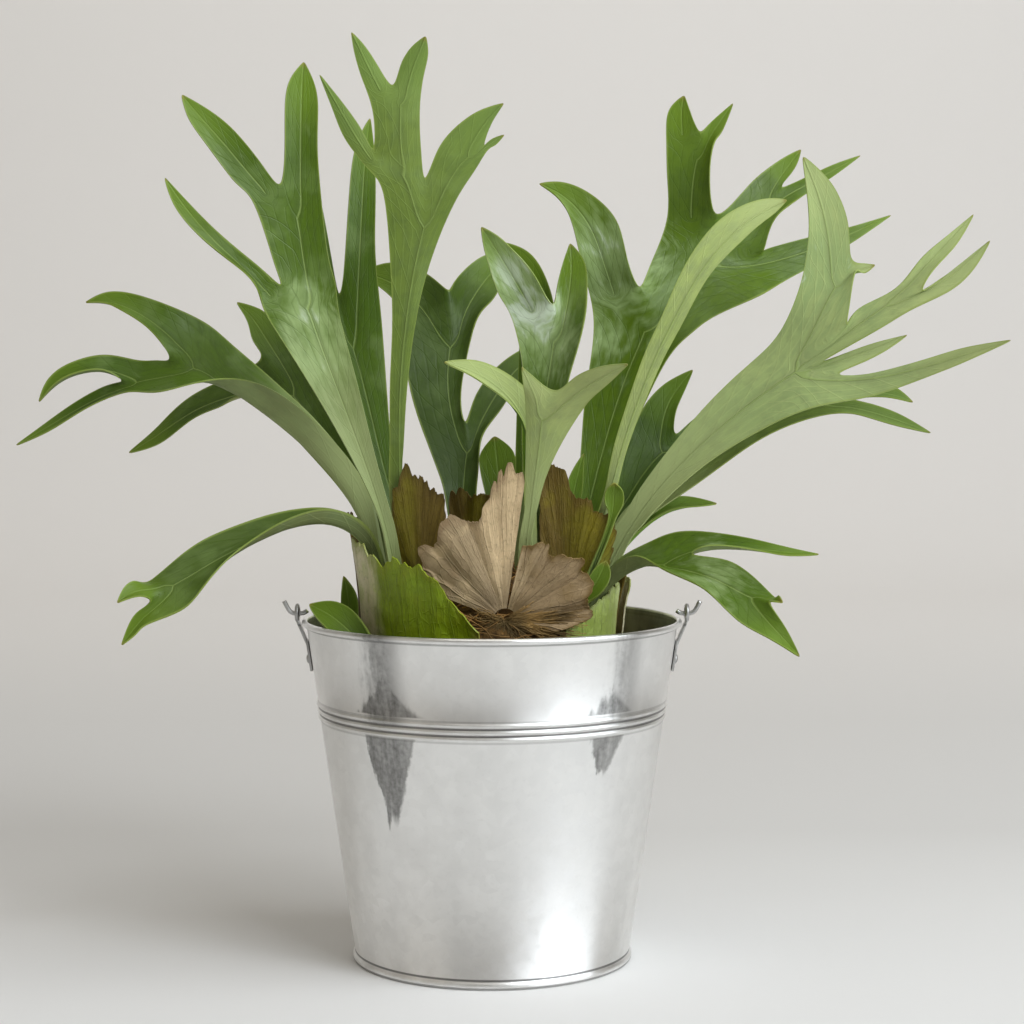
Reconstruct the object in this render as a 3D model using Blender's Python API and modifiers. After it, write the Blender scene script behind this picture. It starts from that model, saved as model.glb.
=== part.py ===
"""A staghorn fern standing in a galvanised metal pail.

Sizes are in millimetres and are turned into metres as each mesh is made. The pail's axis is the
Z axis, the pail stands on z = 0, and the fern's front faces -Y. Every frond is a blade grown row
by row along its midrib. Every shield is a pleated papery sheet that hugs the root ball.
"""
import math

import bmesh
import bpy
from mathutils import Matrix, Vector

MM = 0.001
GAP = 0.3

# Pail
PAIL_STEPS = 44
BASE_RADIUS = 72.0
TOP_RADIUS = 97.6
WALL_TOP = 178.0
SHEET = 0.8
ROLL_RADIUS = 1.6
ROLL_CENTRE = 98.4
BEAD_HEIGHTS = (136.0, 132.5, 129.0)
BEAD_HALF = 1.4
BEAD_RISE = 1.0
CHIME_HEIGHT = 3.4
CHIME_RISE = 1.2
LEDGE_RADIUS = 69.0
LEDGE_TOP = 2.4
FLOOR_THICK = 1.0
MIX_TOP = 162.0

# Ears and hooks
EAR_BOTTOM = 152.0
EAR_BEND = 168.0
EAR_WIDTH = 12.0
EAR_THICK = 1.4
EYE_X = 102.6
EYE_Z = 182.4
EYE_RADIUS = 5.0
EYE_HOLE = 2.2
EYE_THICK = 2.4
HOOK_WIRE = 1.2
HOOK_PATH = ((97.3, 183.6), (99.2, 182.4), (102.6, 182.0), (105.2, 182.4), (107.2, 184.0), (109.6, 188.6))
RIVET_Z = 158.0
RIVET_HEAD = 2.6
RIVET_SHANK = 1.3

# Root ball
MOUND_X = -2.0
MOUND_RADII = (63.0, 58.0, 48.0)
SOCKET_DEPTH = 8.0
SOCKET_SLACK = 1.6
SOCKET_ABOVE = 20.0

# Blades and shields
BLADE_THICK = 1.0
STALK_THICK = 3.0
STALK_REACH = 46.0
SHIELD_THICK = 0.9
SHIELD_COLUMNS = 14
SHIELD_ROWS = 4
RING_RADII = (65.0, 60.0)
FAN_HUB = 6.0

# Colours: base colour, roughness, metallic
ZINC = ((0.62, 0.63, 0.63), 0.35, 1.0)
SOIL = ((0.06, 0.04, 0.03), 0.95, 0.0)
ROOTS = ((0.14, 0.08, 0.045), 0.95, 0.0)
UPPER = ((0.09, 0.19, 0.05), 0.45, 0.0)
UNDER = ((0.27, 0.37, 0.19), 0.6, 0.0)
SHADE = ((0.05, 0.12, 0.03), 0.5, 0.0)
YOUNG = ((0.18, 0.33, 0.07), 0.45, 0.0)
PAPER = ((0.36, 0.27, 0.19), 0.85, 0.0)
MOSSY = ((0.22, 0.31, 0.07), 0.6, 0.0)
OLIVE = ((0.24, 0.22, 0.06), 0.7, 0.0)


class Lobe:
    """A stretch of blade: its midrib as (x, y, z, half width) stations, and the lobes past its end.

    face is where the seen side looks at the far end, cup is how far the midrib lies behind the
    edges there, as a share of the half width, and notches are the points between the lobes. fold is
    how far an edge is turned up at each station, 0 to 1: the right one, or the left where negative.
    """

    def __init__(self, rib, face=None, cup=None, fold=(), notches=(), lobes=()):
        self.rib = rib
        self.face = face
        self.cup = cup
        self.fold = fold or (0.0,) * len(rib)
        self.notches = notches
        self.lobes = lobes


class Frond:
    """A whole frond: where its stalk stands on the root ball, and the blade that grows from it."""

    def __init__(self, name, foot, half, finish, blade, face=(0, -1, 0.1), cup=0.15, in_mix=False):
        self.name = name
        self.foot = foot
        self.half = half
        self.finish = finish
        self.blade = blade
        self.face = face
        self.cup = cup
        self.in_mix = in_mix


LEFT_FRONDS = [
    Frond("frond_left_drooping", (-52, -20), 3.5, UPPER, face=(0, -0.2, 1), cup=0.6, blade=Lobe(
        [(-58, -26, 218, 4), (-68, -32, 232, 5), (-83, -38, 237, 7.5), (-99, -46, 235, 9),
         (-118, -54, 228, 11), (-137, -62, 218, 13), (-151, -70, 207, 13.5), (-161, -76, 198, 13)],
        face=(-0.15, -0.8, 0.6), cup=0.2, fold=(-0.5, -0.7, -0.8, -0.7, -0.5, -0.3, -0.1, 0),
        notches=[(-167, -79, 196)], lobes=[
            Lobe([(-172, -83, 188, 4.6), (-176, -85, 182, 3.2), (-181, -87, 175, 0)]),
            Lobe([(-173, -81, 203, 5.6), (-178, -84, 201, 3.8), (-183, -87, 196, 0)])])),
    Frond("frond_left_mid", (-54, -7), 4.5, UPPER, face=(0, -0.05, 1), cup=0.7, blade=Lobe(
        [(-61, -9, 226, 6), (-70, -12, 251, 9), (-98, -15, 279, 15), (-124, -17, 297, 21),
         (-144, -18, 307, 26), (-159, -18, 315, 28)],
        face=(-0.1, -0.72, 0.7), cup=0.3, fold=(-0.6, -0.9, -1, -0.9, -0.55, -0.12),
        notches=[(-166, -13, 316)], lobes=[
            Lobe([(-177, -17, 307, 11.5), (-186, -15, 307, 11)], notches=[(-191, -13, 304.5)], lobes=[
                Lobe([(-200, -10, 299, 5), (-216, -6, 291, 4.4), (-233, -2, 280, 3.4), (-251, 0, 270, 0)]),
                Lobe([(-202, -11, 315, 5), (-221, -12, 310, 4.2), (-231, -10, 302, 2.8), (-236, -9, 293, 0)])]),
            Lobe([(-173, -12, 338, 9), (-190, -9, 346, 6), (-202, -7, 348, 3.6), (-212, -6, 345, 0)])])),
    Frond("frond_left_back", (-50, 10), 4, SHADE, face=(0.1, -0.7, 0.7), cup=0.3, blade=Lobe(
        [(-60, 14, 222, 5), (-76, 22, 251, 7), (-100, 44, 283, 13), (-121, 66, 307, 19)],
        face=(-0.1, -0.8, 0.5), cup=0.2, notches=[(-128, 74, 316)], lobes=[
            Lobe([(-151, 90, 298, 9), (-173, 105, 289, 7.5), (-193, 114, 272, 5.5), (-212, 120, 262, 0)]),
            Lobe([(-128, 84, 330, 8), (-134, 92, 341, 5.5), (-146, 98, 349, 0)])])),
    Frond("frond_left_tall", (-46, -31), 3.8, UPPER, face=(0.2, -1, 0.2), cup=0.2, blade=Lobe(
        [(-51, -38, 224, 3.4), (-55, -40, 239, 3.4), (-64, -44, 265, 5.6), (-78, -48, 302, 11),
         (-91, -50, 332, 16), (-96, -50, 347, 19.5)],
        face=(0.15, -1, 0.25), cup=0.25, notches=[(-105, -52, 352)], lobes=[
            Lobe([(-118, -54, 356, 6), (-138, -57, 374, 4.8), (-154, -59, 392, 3.6), (-162, -60, 406, 0)],
                 fold=(-0.8, -0.3, 0, 0)),
            Lobe([(-95, -50, 365, 13.5), (-102, -50, 398, 17)], notches=[(-105, -50, 401)], lobes=[
                Lobe([(-121, -52, 408, 8.5), (-135, -53, 426, 7.8), (-147, -54, 438, 5), (-154, -54, 447, 0)]),
                Lobe([(-95, -47, 422, 8), (-95, -44, 444, 8.4), (-95, -42, 456, 5.8), (-94, -40, 465, 0)])])])),
    Frond("frond_left_finger", (-40, -3), 3.6, UPPER, face=(0.2, -1, 0.1), blade=Lobe(
        [(-50, 2, 232, 4.5), (-58, 10, 257, 6), (-65, 20, 298, 9), (-73, 28, 336, 14)],
        cup=0.2, notches=[(-82, 32, 348)], lobes=[
            Lobe([(-94, 36, 372, 7), (-99, 40, 402, 6.4), (-101, 44, 428, 0)]),
            Lobe([(-71, 33, 374, 8), (-70, 38, 404, 7.4), (-69, 42, 430, 5.4), (-66, 45, 447, 0)])])),
    Frond("frond_tall_pale", (-40, -20), 3.2, UNDER, face=(0.1, -1, 0.1), cup=-0.2, blade=Lobe(
        [(-50, -20, 238, 2.8), (-49, -21, 271, 3.5), (-48, -22, 302, 4.4), (-45, -24, 334, 5.8),
         (-42, -25, 365, 10), (-37, -26, 398, 18)],
        cup=-0.2, notches=[(-34, -26, 406)], lobes=[
            Lobe([(-49, -27, 416, 14)], notches=[(-60, -28, 421)], lobes=[
                Lobe([(-70, -28, 429, 5), (-77, -29, 442, 3.4), (-88, -30, 461, 0)]),
                Lobe([(-48, -28, 437, 11.5), (-49, -29, 450, 13.4)], notches=[(-50, -29, 453)], lobes=[
                    Lobe([(-62, -30, 462, 5), (-67, -31, 473, 3), (-71, -32, 481, 0)]),
                    Lobe([(-40, -29, 463, 6.4), (-36, -30, 472, 4.6), (-33, -31, 479, 0)])])]),
            Lobe([(-18, -26, 417, 11), (-10, -26, 428, 10)], notches=[(-4, -26, 424)], lobes=[
                Lobe([(-3, -26, 439, 4.4), (7, -26, 446, 0)]),
                Lobe([(1, -25, 426, 2), (7, -25, 430, 0)])])])),
]

CENTRE_FRONDS = [
    Frond("frond_back_centre", (-14, 26), 5, SHADE, face=(0, -1, 0.25), cup=0.2, blade=Lobe(
        [(-17, 33, 238, 8), (-18, 38, 252, 10), (-21, 46, 272, 14.5)],
        notches=[(-15, 50, 280)], lobes=[
            Lobe([(-32, 60, 300, 14), (-31, 74, 338, 21)], notches=[(-25, 78, 354)], lobes=[
                Lobe([(-46, 90, 357, 12), (-62, 104, 365, 8), (-76, 114, 366, 0)]),
                Lobe([(-11, 92, 355, 12.5), (1, 106, 371, 8.5), (11, 118, 376, 0)])]),
            Lobe([(-3, 70, 292, 8.5), (8, 86, 308, 7.6), (21, 99, 319, 5.4), (35, 110, 330, 0)])])),
    Frond("frond_centre_glossy", (28, -22), 4, UPPER, face=(-0.2, -1, 0.15), cup=0.35, blade=Lobe(
        [(22, -30, 240, 5), (22, -34, 262, 6.5), (25, -36, 287, 10), (28, -38, 309, 12),
         (29, -40, 336, 19)],
        cup=0.35, notches=[(31, -38, 342)], lobes=[
            Lobe([(13, -48, 352, 10.5), (5, -55, 366, 7.2), (0, -59, 374, 4.4), (-5, -62, 381, 0)]),
            Lobe([(41, -34, 352, 8), (42, -32, 365, 5.8), (40, -30, 375, 0)])])),
    Frond("frond_centre_behind", (16, -14), 4, SHADE, face=(-0.1, -1, 0.1), blade=Lobe(
        [(16, -14, 236, 4.5), (17, -15, 258, 5), (21, -15, 294, 8), (24, -16, 330, 9.6),
         (21, -18, 351, 9.2), (14, -20, 367, 7), (5, -20, 376, 0)], cup=0.2)),
    Frond("frond_front_small", (16, -38), 3, UNDER, face=(0, -1, 0), cup=-0.15, blade=Lobe(
        [(17, -50, 225, 3), (20, -55, 239, 3), (22, -60, 256, 4.8), (26, -67, 275, 8.8),
         (31, -74, 294, 14.5)],
        face=(-0.1, -1, -0.1), cup=-0.2, notches=[(32, -76, 299)], lobes=[
            Lobe([(19, -79, 304, 3.6), (15, -82, 312, 0)]),
            Lobe([(46, -82, 302, 6.6), (56, -92, 308, 4.6), (67, -100, 313, 0)])])),
    Frond("frond_centre_tongue", (21, -29), 3, UNDER, face=(0.1, -1, 0.3), blade=Lobe(
        [(20, -37, 236, 3), (20, -42, 254, 3.4), (23, -46, 279, 4.6), (15, -50, 296, 5.8),
         (0, -56, 307, 5.6), (-12, -62, 312, 3.8), (-24, -66, 314, 0)], face=(-0.1, -0.9, 0.4), cup=0.3)),
]

RIGHT_FRONDS = [
    Frond("frond_right_broad", (42, -2), 4.5, UPPER, face=(-0.1, -1, 0.15), cup=0.2, blade=Lobe(
        [(48, 0, 230, 6), (55, 4, 257, 9), (63, 10, 289, 15), (73, 14, 322, 20), (79, 18, 338, 28)],
        cup=0.2, notches=[(78, 16, 353)], lobes=[
            Lobe([(60, 10, 364, 11.8), (55, 6, 384, 12), (45, 2, 398, 7.4), (34, 0, 405, 3.8), (24, -2, 407, 0)]),
            Lobe([(101, 27, 352, 22), (118, 32, 370, 32)],
                 notches=[(119, 32, 392), (147, 42, 375)], lobes=[
                Lobe([(104, 26, 413, 11), (105, 24, 432, 12.6)], notches=[(110, 24, 436)], lobes=[
                    Lobe([(99, 24, 448, 5.8), (102, 24, 456, 0)]),
                    Lobe([(119, 26, 439, 4.2), (129, 28, 453, 0)])]),
                Lobe([(142, 45, 397, 11.5), (152, 52, 407, 12)], notches=[(156, 55, 409)], lobes=[
                    Lobe([(162, 58, 423, 4.6), (169, 60, 431, 0)]),
                    Lobe([(173, 64, 412, 4), (189, 68, 421, 2.8), (204, 72, 429, 0)])]),
                Lobe([(153, 50, 367, 10.4), (176, 61, 376, 7.6), (198, 69, 385, 4.2), (223, 78, 397, 0)])])])),
    Frond("frond_right_strap", (46, -23), 3, UNDER, face=(0.15, -1, 0), cup=-0.25, blade=Lobe(
        [(55, -27, 226, 2.8), (61, -31, 248, 2.8), (65, -36, 269, 3.4), (74, -41, 296, 4.2),
         (82, -44, 317, 5), (91, -46, 335, 5.6), (103, -46, 360, 6.6), (118, -44, 378, 8),
         (131, -41, 388, 6.4), (142, -38, 393, 4), (150, -36, 396, 0)], cup=-0.3)),
    Frond("frond_right_great", (52, -9), 4.5, UNDER, face=(-0.1, -0.9, 0.5), cup=0.2, blade=Lobe(
        [(66, -15, 222, 5), (73, -18, 232, 5.6), (81, -21, 244, 7), (98, -26, 264, 9.4),
         (117, -30, 282, 13), (135, -34, 296, 16.5), (155, -39, 309, 21)],
        face=(-0.1, -0.9, 0.35), cup=0.2,
        notches=[(179, -46, 332), (165, -41, 313), (174, -44, 308)], lobes=[
            Lobe([(168, -41, 346, 13.4), (171, -42, 363, 12.6)], notches=[(181, -42, 366)], lobes=[
                Lobe([(170, -43, 383, 10), (165, -43, 402, 6.8), (156, -44, 418, 0)]),
                Lobe([(188, -42, 361, 3), (194, -42, 363, 0)])]),
            Lobe([(188, -47, 335, 7.8), (206, -51, 345, 6.4)], notches=[(215, -53, 349)], lobes=[
                Lobe([(218, -51, 363, 4.4), (231, -49, 375, 3.4), (243, -46, 389, 0)]),
                Lobe([(228, -55, 353, 4.2), (240, -56, 364, 3), (249, -57, 375, 0)])]),
            Lobe([(188, -42, 318, 4), (200, -42, 323, 2.6), (211, -41, 328, 0)]),
            Lobe([(190, -50, 302, 6), (217, -60, 311, 4.6), (235, -70, 318, 3.6), (256, -80, 325, 0)])])),
    Frond("frond_right_under", (53, 4), 4, UNDER, face=(-0.1, -0.9, 0.4), blade=Lobe(
        [(68, 4, 226, 5), (81, 2, 239, 6), (104, 0, 257, 8), (135, -1, 280, 8.4), (164, -2, 292, 8),
         (184, -4, 295, 8)],
        notches=[(188, -4, 295)], lobes=[
            Lobe([(201, -5, 300, 4), (211, -7, 298, 3), (220, -8, 293, 0)]),
            Lobe([(197, -7, 289, 4), (212, -11, 284, 3.4), (229, -14, 277, 0)])])),
    Frond("frond_right_back", (46, 13), 4.5, SHADE, face=(-0.1, -1, 0.2), cup=0.2, blade=Lobe(
        [(62, 15, 228, 6), (74, 18, 246, 9), (82, 23, 261, 13), (90, 28, 273, 16)],
        cup=0.2, notches=[(98, 30, 275)], lobes=[
            Lobe([(91, 32, 291, 8), (99, 36, 301, 5.4), (109, 38, 311, 0)]),
            Lobe([(112, 34, 278, 7), (129, 40, 291, 5), (142, 46, 302, 0)])])),
    Frond("frond_right_leaflet", (50, 21), 3, YOUNG, face=(0, -0.6, 0.8), blade=Lobe(
        [(64, 24, 214, 4), (83, 28, 233, 5), (97, 30, 239, 5), (110, 32, 239, 4), (122, 34, 238, 0)],
        cup=0.3)),
    Frond("frond_right_drooping", (50, -17), 3.6, UPPER, face=(0, -0.3, 1), cup=0.3, blade=Lobe(
        [(61, -26, 208, 4), (77, -40, 217, 8), (90, -50, 219, 13)],
        face=(0, -0.75, 0.65), cup=0.3, fold=(0.4, 0.5, 0), notches=[(100, -57, 217)], lobes=[
            Lobe([(110, -58, 224, 6.4), (130, -62, 222, 5), (147, -63, 219, 3.6), (165, -62, 218, 0)],
                 fold=(0.5, 0.5, 0.3, 0)),
            Lobe([(111, -74, 210, 10.5), (122, -88, 201, 11.5), (130, -98, 193, 11)],
                 face=(0, -0.85, 0.5), notches=[(135, -101, 197)], lobes=[
                Lobe([(138, -102, 200, 2.4), (141, -104, 198, 0)]),
                Lobe([(138, -110, 184, 5), (148, -120, 173, 0)])])])),
]

YOUNG_FRONDS = [
    Frond("young_curled_upper", (45, -37), 1.8, SHADE, face=(0, -1, 0.3), cup=0.3, blade=Lobe(
        [(46, -39.5, 194, 1.6), (51, -40, 208, 1.5), (58, -40, 224, 1.5), (62, -39, 236, 1.8),
         (62.5, -39, 241, 4.4), (62.5, -39, 246, 5), (62.5, -40, 250, 3.6), (62.5, -41, 253, 0)], cup=0.8)),
    Frond("young_curled_lower", (37, -43), 2, SHADE, face=(0.1, -1, 0.3), cup=0.4, blade=Lobe(
        [(43, -45.5, 191, 2.4), (50, -47.5, 198, 4.4), (55, -48.5, 205, 5), (57, -48.5, 210, 3.6),
         (58, -48, 214, 0)], cup=0.5)),
    Frond("young_pointed", (36, -20), 2.4, YOUNG, blade=Lobe(
        [(37, -19, 225, 3), (42, -19, 244, 4.4), (44, -18, 256, 3.4), (48, -17, 268, 0)], cup=0.3)),
    Frond("young_round_back", (6, 30), 3, SHADE, face=(0, -1, 0.3), blade=Lobe(
        [(5, 32, 225, 5), (4, 34, 244, 8), (3, 36, 258, 10), (2, 37, 267, 8.6), (1, 37, 275, 0)], cup=0.3)),
    Frond("leaf_over_rim", (-58, -53), 3, SHADE, face=(0, -0.8, 0.7), cup=0.2, in_mix=True, blade=Lobe(
        [(-61, -54, 168, 3.8), (-68, -52, 176, 7), (-77, -45, 184, 8.5), (-86, -38, 189, 6),
         (-94, -32, 190, 0)], cup=0.25)),
    Frond("leaf_left_small", (-74, -10), 2.6, SHADE, face=(0, -1, 0.2), in_mix=True, blade=Lobe(
        [(-74, -13, 176, 4), (-74, -16, 190, 4.6), (-75, -18, 197, 3), (-77, -19, 204, 0)], cup=0.3)),
]

# Sheets wrapped round the root ball: start and end angle from the front, layer, flare at the top,
# the top edge's heights from start to end, and the finish
WRAPS = {
    "shield_front_left": (-70, -3, 4, 6, (223, 226, 222, 218, 214, 218, 215, 214, 208, 199, 190, 180), MOSSY),
    "shield_front_right": (36, 92, 1.5, 2, (181, 186, 190, 193, 197, 200, 199, 201, 196), YOUNG),
    "shield_left_stub": (-122, -77, 2, 7, (214, 228, 236, 233, 238, 234), PAPER),
    "shield_right_side": (97, 124, 2.5, 7, (207, 210, 206, 211, 208, 202), OLIVE),
    "shield_back_left": (-172, -112, 7, 5, (204, 214, 219, 216, 223, 226, 220, 216, 208), MOSSY),
    "shield_back": (128, 196, 3.5, 4, (206, 221, 228, 232, 229, 235, 231, 236, 226, 210), PAPER),
    "shield_back_right": (104, 152, 8.5, 5, (196, 206, 214, 211, 218, 215, 205, 196), MOSSY),
}

# Sheets that spread from a hub: hub (x, z), hub depth or None to touch the root ball's front,
# forward lean, bend to left and right, and the outline as (angle, reach) pairs
FANS = {
    "shield_fan_left": ((7, 184), None, 0.1, 200, 34, (
        (160, 42), (142, 57), (130, 54), (120, 62), (114, 60), (107, 55), (100, 60), (95, 71),
        (91, 79), (86, 80), (82, 74)), PAPER),
    "shield_fan_right": ((7, 184), None, 0.3, 200, 200, (
        (77, 39), (66, 44), (61, 46), (56, 42), (48, 47), (40, 51), (34, 49), (24, 50), (12, 45),
        (4, 47), (-6, 34), (-24, 17)), PAPER),
    "shield_left_brown": ((-37, 193), -27, 0.02, 260, 260, (
        (126, 24), (110, 44), (102, 62), (96, 70), (92, 66), (88, 64), (84, 59), (80, 57), (75, 53),
        (68, 38), (56, 25)), PAPER),
    "shield_right_olive": ((38, 185), -34.5, 0.02, 240, 240, (
        (112, 30), (106, 50), (101, 70), (96, 79), (91, 76), (86, 64), (80, 65), (74, 58), (66, 59),
        (60, 52), (54, 43), (48, 34)), OLIVE),
    "shield_middle": ((-12, 204.2), 4, 0.02, 260, 260, (
        (112, 30), (103, 43), (94, 45), (88, 41), (82, 43), (75, 43), (64, 29)), OLIVE),
}


def remove_everything():
    for thing in list(bpy.data.objects):
        bpy.data.objects.remove(thing, do_unlink=True)


def new_collection(name):
    collection = bpy.data.collections.new(name)
    bpy.context.scene.collection.children.link(collection)
    return collection


def new_material(name, finish):
    colour, roughness, metallic = finish
    material = bpy.data.materials.new(name)
    material.use_nodes = True
    shader = material.node_tree.nodes["Principled BSDF"]
    shader.inputs["Base Color"].default_value = (*colour, 1.0)
    shader.inputs["Roughness"].default_value = roughness
    shader.inputs["Metallic"].default_value = metallic
    material.diffuse_color = (*colour, 1.0)
    return material


def add_object(name, bm, finish, collection):
    """Turns a mesh measured in millimetres into an object of the collection."""
    bmesh.ops.scale(bm, verts=bm.verts, vec=(MM, MM, MM))
    mesh = bpy.data.meshes.new(name)
    bm.to_mesh(mesh)
    bm.free()
    part = bpy.data.objects.new(name, mesh)
    collection.objects.link(part)
    if finish:
        mesh.materials.append(new_material(name, finish))
    return part


def smooth(part, angle=35.0):
    part.data.shade_smooth()
    part.data.set_sharp_from_angle(angle=math.radians(angle))


def wall_radius(z):
    """Outer radius of the pail's wall at a height."""
    return BASE_RADIUS + (TOP_RADIUS - BASE_RADIUS) * z / WALL_TOP


def wall_angle():
    return math.atan((TOP_RADIUS - BASE_RADIUS) / WALL_TOP)


def mound_height(x, y):
    """Height of the root ball's surface over a point of its plan."""
    across, deep, high = MOUND_RADII
    left = 1 - ((x - MOUND_X) / across) ** 2 - (y / deep) ** 2
    return MIX_TOP + high * math.sqrt(max(left, 0.0))


def mound_front(x, z):
    """Depth of the root ball's front at a point seen from the front."""
    across, deep, high = MOUND_RADII
    left = 1 - ((x - MOUND_X) / across) ** 2 - ((z - MIX_TOP) / high) ** 2
    return -deep * math.sqrt(max(left, 0.0))


def outlined_ring(bm, outline):
    """A closed outline in the XZ plane, as (radius, height) points, for a Screw modifier."""
    verts = [bm.verts.new((radius, 0, height)) for radius, height in outline]
    for vert, following in zip(verts, verts[1:] + verts[:1]):
        bm.edges.new((vert, following))


def add_screw(part):
    turn = part.modifiers.new("turn", "SCREW")
    turn.steps = PAIL_STEPS
    turn.render_steps = PAIL_STEPS
    turn.use_merge_vertices = True
    turn.merge_threshold = 0.00001
    turn.use_smooth_shade = True


def pail_wall(parts):
    outline = []
    for step in range(10):
        angle = math.radians(200 - 34 * step)
        outline.append((ROLL_CENTRE + ROLL_RADIUS * math.cos(angle),
                        WALL_TOP + 0.2 + ROLL_RADIUS * math.sin(angle)))
    neck = WALL_TOP - 1.9
    outline.append((wall_radius(neck), neck))
    for height in BEAD_HEIGHTS:
        outline.append((wall_radius(height + BEAD_HALF), height + BEAD_HALF))
        outline.append((wall_radius(height) + BEAD_RISE, height))
    lowest = BEAD_HEIGHTS[-1] - BEAD_HALF
    outline.append((wall_radius(lowest), lowest))
    chime = wall_radius(CHIME_HEIGHT)
    outline.append((chime, CHIME_HEIGHT + 0.6))
    outline.append((chime + CHIME_RISE, CHIME_HEIGHT - 0.4))
    outline.append((chime + CHIME_RISE, 0.5))
    outline.append((chime + CHIME_RISE - 0.5, 0))
    outline.append((LEDGE_RADIUS, 0))
    outline.append((LEDGE_RADIUS, LEDGE_TOP))
    outline.append((wall_radius(LEDGE_TOP) - SHEET, LEDGE_TOP))
    bm = bmesh.new()
    outlined_ring(bm, outline)
    wall = add_object("pail_wall", bm, ZINC, parts)
    add_screw(wall)


def turned_block(name, radius_low, radius_high, low, high, finish, parts):
    bm = bmesh.new()
    bmesh.ops.create_cone(bm, cap_ends=True, segments=PAIL_STEPS, radius1=radius_low,
                          radius2=radius_high, depth=high - low)
    bmesh.ops.translate(bm, verts=bm.verts, vec=(0, 0, (low + high) / 2))
    part = add_object(name, bm, finish, parts)
    smooth(part)
    return part


def inner_radius(z):
    return wall_radius(z) - SHEET


def pail_floor(parts):
    low = LEDGE_TOP + GAP
    radius = inner_radius(low) - GAP
    turned_block("pail_floor", radius, radius, low, low + FLOOR_THICK, ZINC, parts)


def potting_mix(parts, sockets):
    low = LEDGE_TOP + GAP + FLOOR_THICK + GAP
    mix = turned_block("potting_mix", inner_radius(low) - GAP, inner_radius(MIX_TOP) - GAP,
                       low, MIX_TOP, SOIL, parts)
    cut_sockets(mix, sockets)


def cut_sockets(part, sockets):
    cut = part.modifiers.new("sockets", "BOOLEAN")
    cut.operation = "DIFFERENCE"
    cut.operand_type = "COLLECTION"
    cut.collection = sockets
    cut.solver = "EXACT"


def root_ball(parts, sockets):
    bm = bmesh.new()
    bmesh.ops.create_uvsphere(bm, u_segments=22, v_segments=12, radius=1.0)
    bmesh.ops.scale(bm, verts=bm.verts, vec=MOUND_RADII)
    bmesh.ops.translate(bm, verts=bm.verts, vec=(MOUND_X, 0, MIX_TOP))
    level = MIX_TOP + GAP
    cut = bmesh.ops.bisect_plane(bm, geom=bm.verts[:] + bm.edges[:] + bm.faces[:], plane_co=(0, 0, level),
                                 plane_no=(0, 0, 1), clear_inner=True)
    rim = [edge for edge in cut["geom_cut"] if isinstance(edge, bmesh.types.BMEdge)]
    bmesh.ops.contextual_create(bm, geom=rim)
    bmesh.ops.recalc_face_normals(bm, faces=bm.faces)
    ball = add_object("root_ball", bm, ROOTS, parts)
    smooth(ball)
    cut_sockets(ball, sockets)


def ear_solid(name, side, cutters, parts):
    """A riveted ear: a plate on the wall, an arm and an eye, fused, with the eye and rivet holes."""
    tilt = wall_angle()
    middle = (EAR_BOTTOM + EAR_BEND) / 2
    inner = wall_radius(middle) + GAP
    plate = bmesh.new()
    bmesh.ops.create_cube(plate, size=1.0)
    bmesh.ops.scale(plate, verts=plate.verts, vec=(EAR_THICK, EAR_WIDTH, (EAR_BEND - EAR_BOTTOM) / math.cos(tilt)))
    bmesh.ops.rotate(plate, verts=plate.verts, cent=(0, 0, 0), matrix=Matrix.Rotation(tilt, 3, "Y"))
    bmesh.ops.translate(plate, verts=plate.verts, vec=(inner + EAR_THICK / 2, 0, middle))
    arm = bmesh.new()
    bmesh.ops.create_cube(arm, size=1.0)
    low = Vector((wall_radius(EAR_BEND - 3) + GAP + EAR_THICK / 2 + 0.1, 0, EAR_BEND - 3))
    high = Vector((EYE_X, 0, EYE_Z - EYE_RADIUS + 1.2))
    lean = math.atan2(high.x - low.x, high.z - low.z)
    bmesh.ops.scale(arm, verts=arm.verts, vec=(EAR_THICK, EYE_RADIUS * 1.3, (high - low).length))
    bmesh.ops.rotate(arm, verts=arm.verts, cent=(0, 0, 0), matrix=Matrix.Rotation(lean, 3, "Y"))
    bmesh.ops.translate(arm, verts=arm.verts, vec=(low + high) / 2)
    eye = bmesh.new()
    bmesh.ops.create_cone(eye, cap_ends=True, segments=20, radius1=EYE_RADIUS, radius2=EYE_RADIUS, depth=EYE_THICK)
    place_across(eye, EYE_X, EYE_Z)
    hole = bmesh.new()
    bmesh.ops.create_cone(hole, cap_ends=True, segments=16, radius1=EYE_HOLE, radius2=EYE_HOLE, depth=12)
    place_across(hole, EYE_X, EYE_Z)
    rivet_hole = bmesh.new()
    bmesh.ops.create_cone(rivet_hole, cap_ends=True, segments=12, radius1=RIVET_SHANK + GAP,
                          radius2=RIVET_SHANK + GAP, depth=8)
    place_across(rivet_hole, wall_radius(RIVET_Z), RIVET_Z)
    for piece in (plate, arm, eye, hole, rivet_hole):
        bmesh.ops.scale(piece, verts=piece.verts, vec=(side, 1, 1))
        if side < 0:
            bmesh.ops.reverse_faces(piece, faces=piece.faces)
    part = add_object(name, plate, ZINC, parts)
    joins = ((arm, "UNION"), (eye, "UNION"), (hole, "DIFFERENCE"), (rivet_hole, "DIFFERENCE"))
    for index, (piece, operation) in enumerate(joins):
        cutter = add_object(f"{name}_cutter_{index}", piece, None, cutters)
        cut = part.modifiers.new(f"join_{index}", "BOOLEAN")
        cut.operation = operation
        cut.object = cutter
        cut.solver = "EXACT"


def place_across(bm, x, z):
    """Lays a round block's axis along X and moves it to its place."""
    bmesh.ops.rotate(bm, verts=bm.verts, cent=(0, 0, 0), matrix=Matrix.Rotation(math.pi / 2, 3, "Y"))
    bmesh.ops.translate(bm, verts=bm.verts, vec=(x, 0, z))


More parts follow.
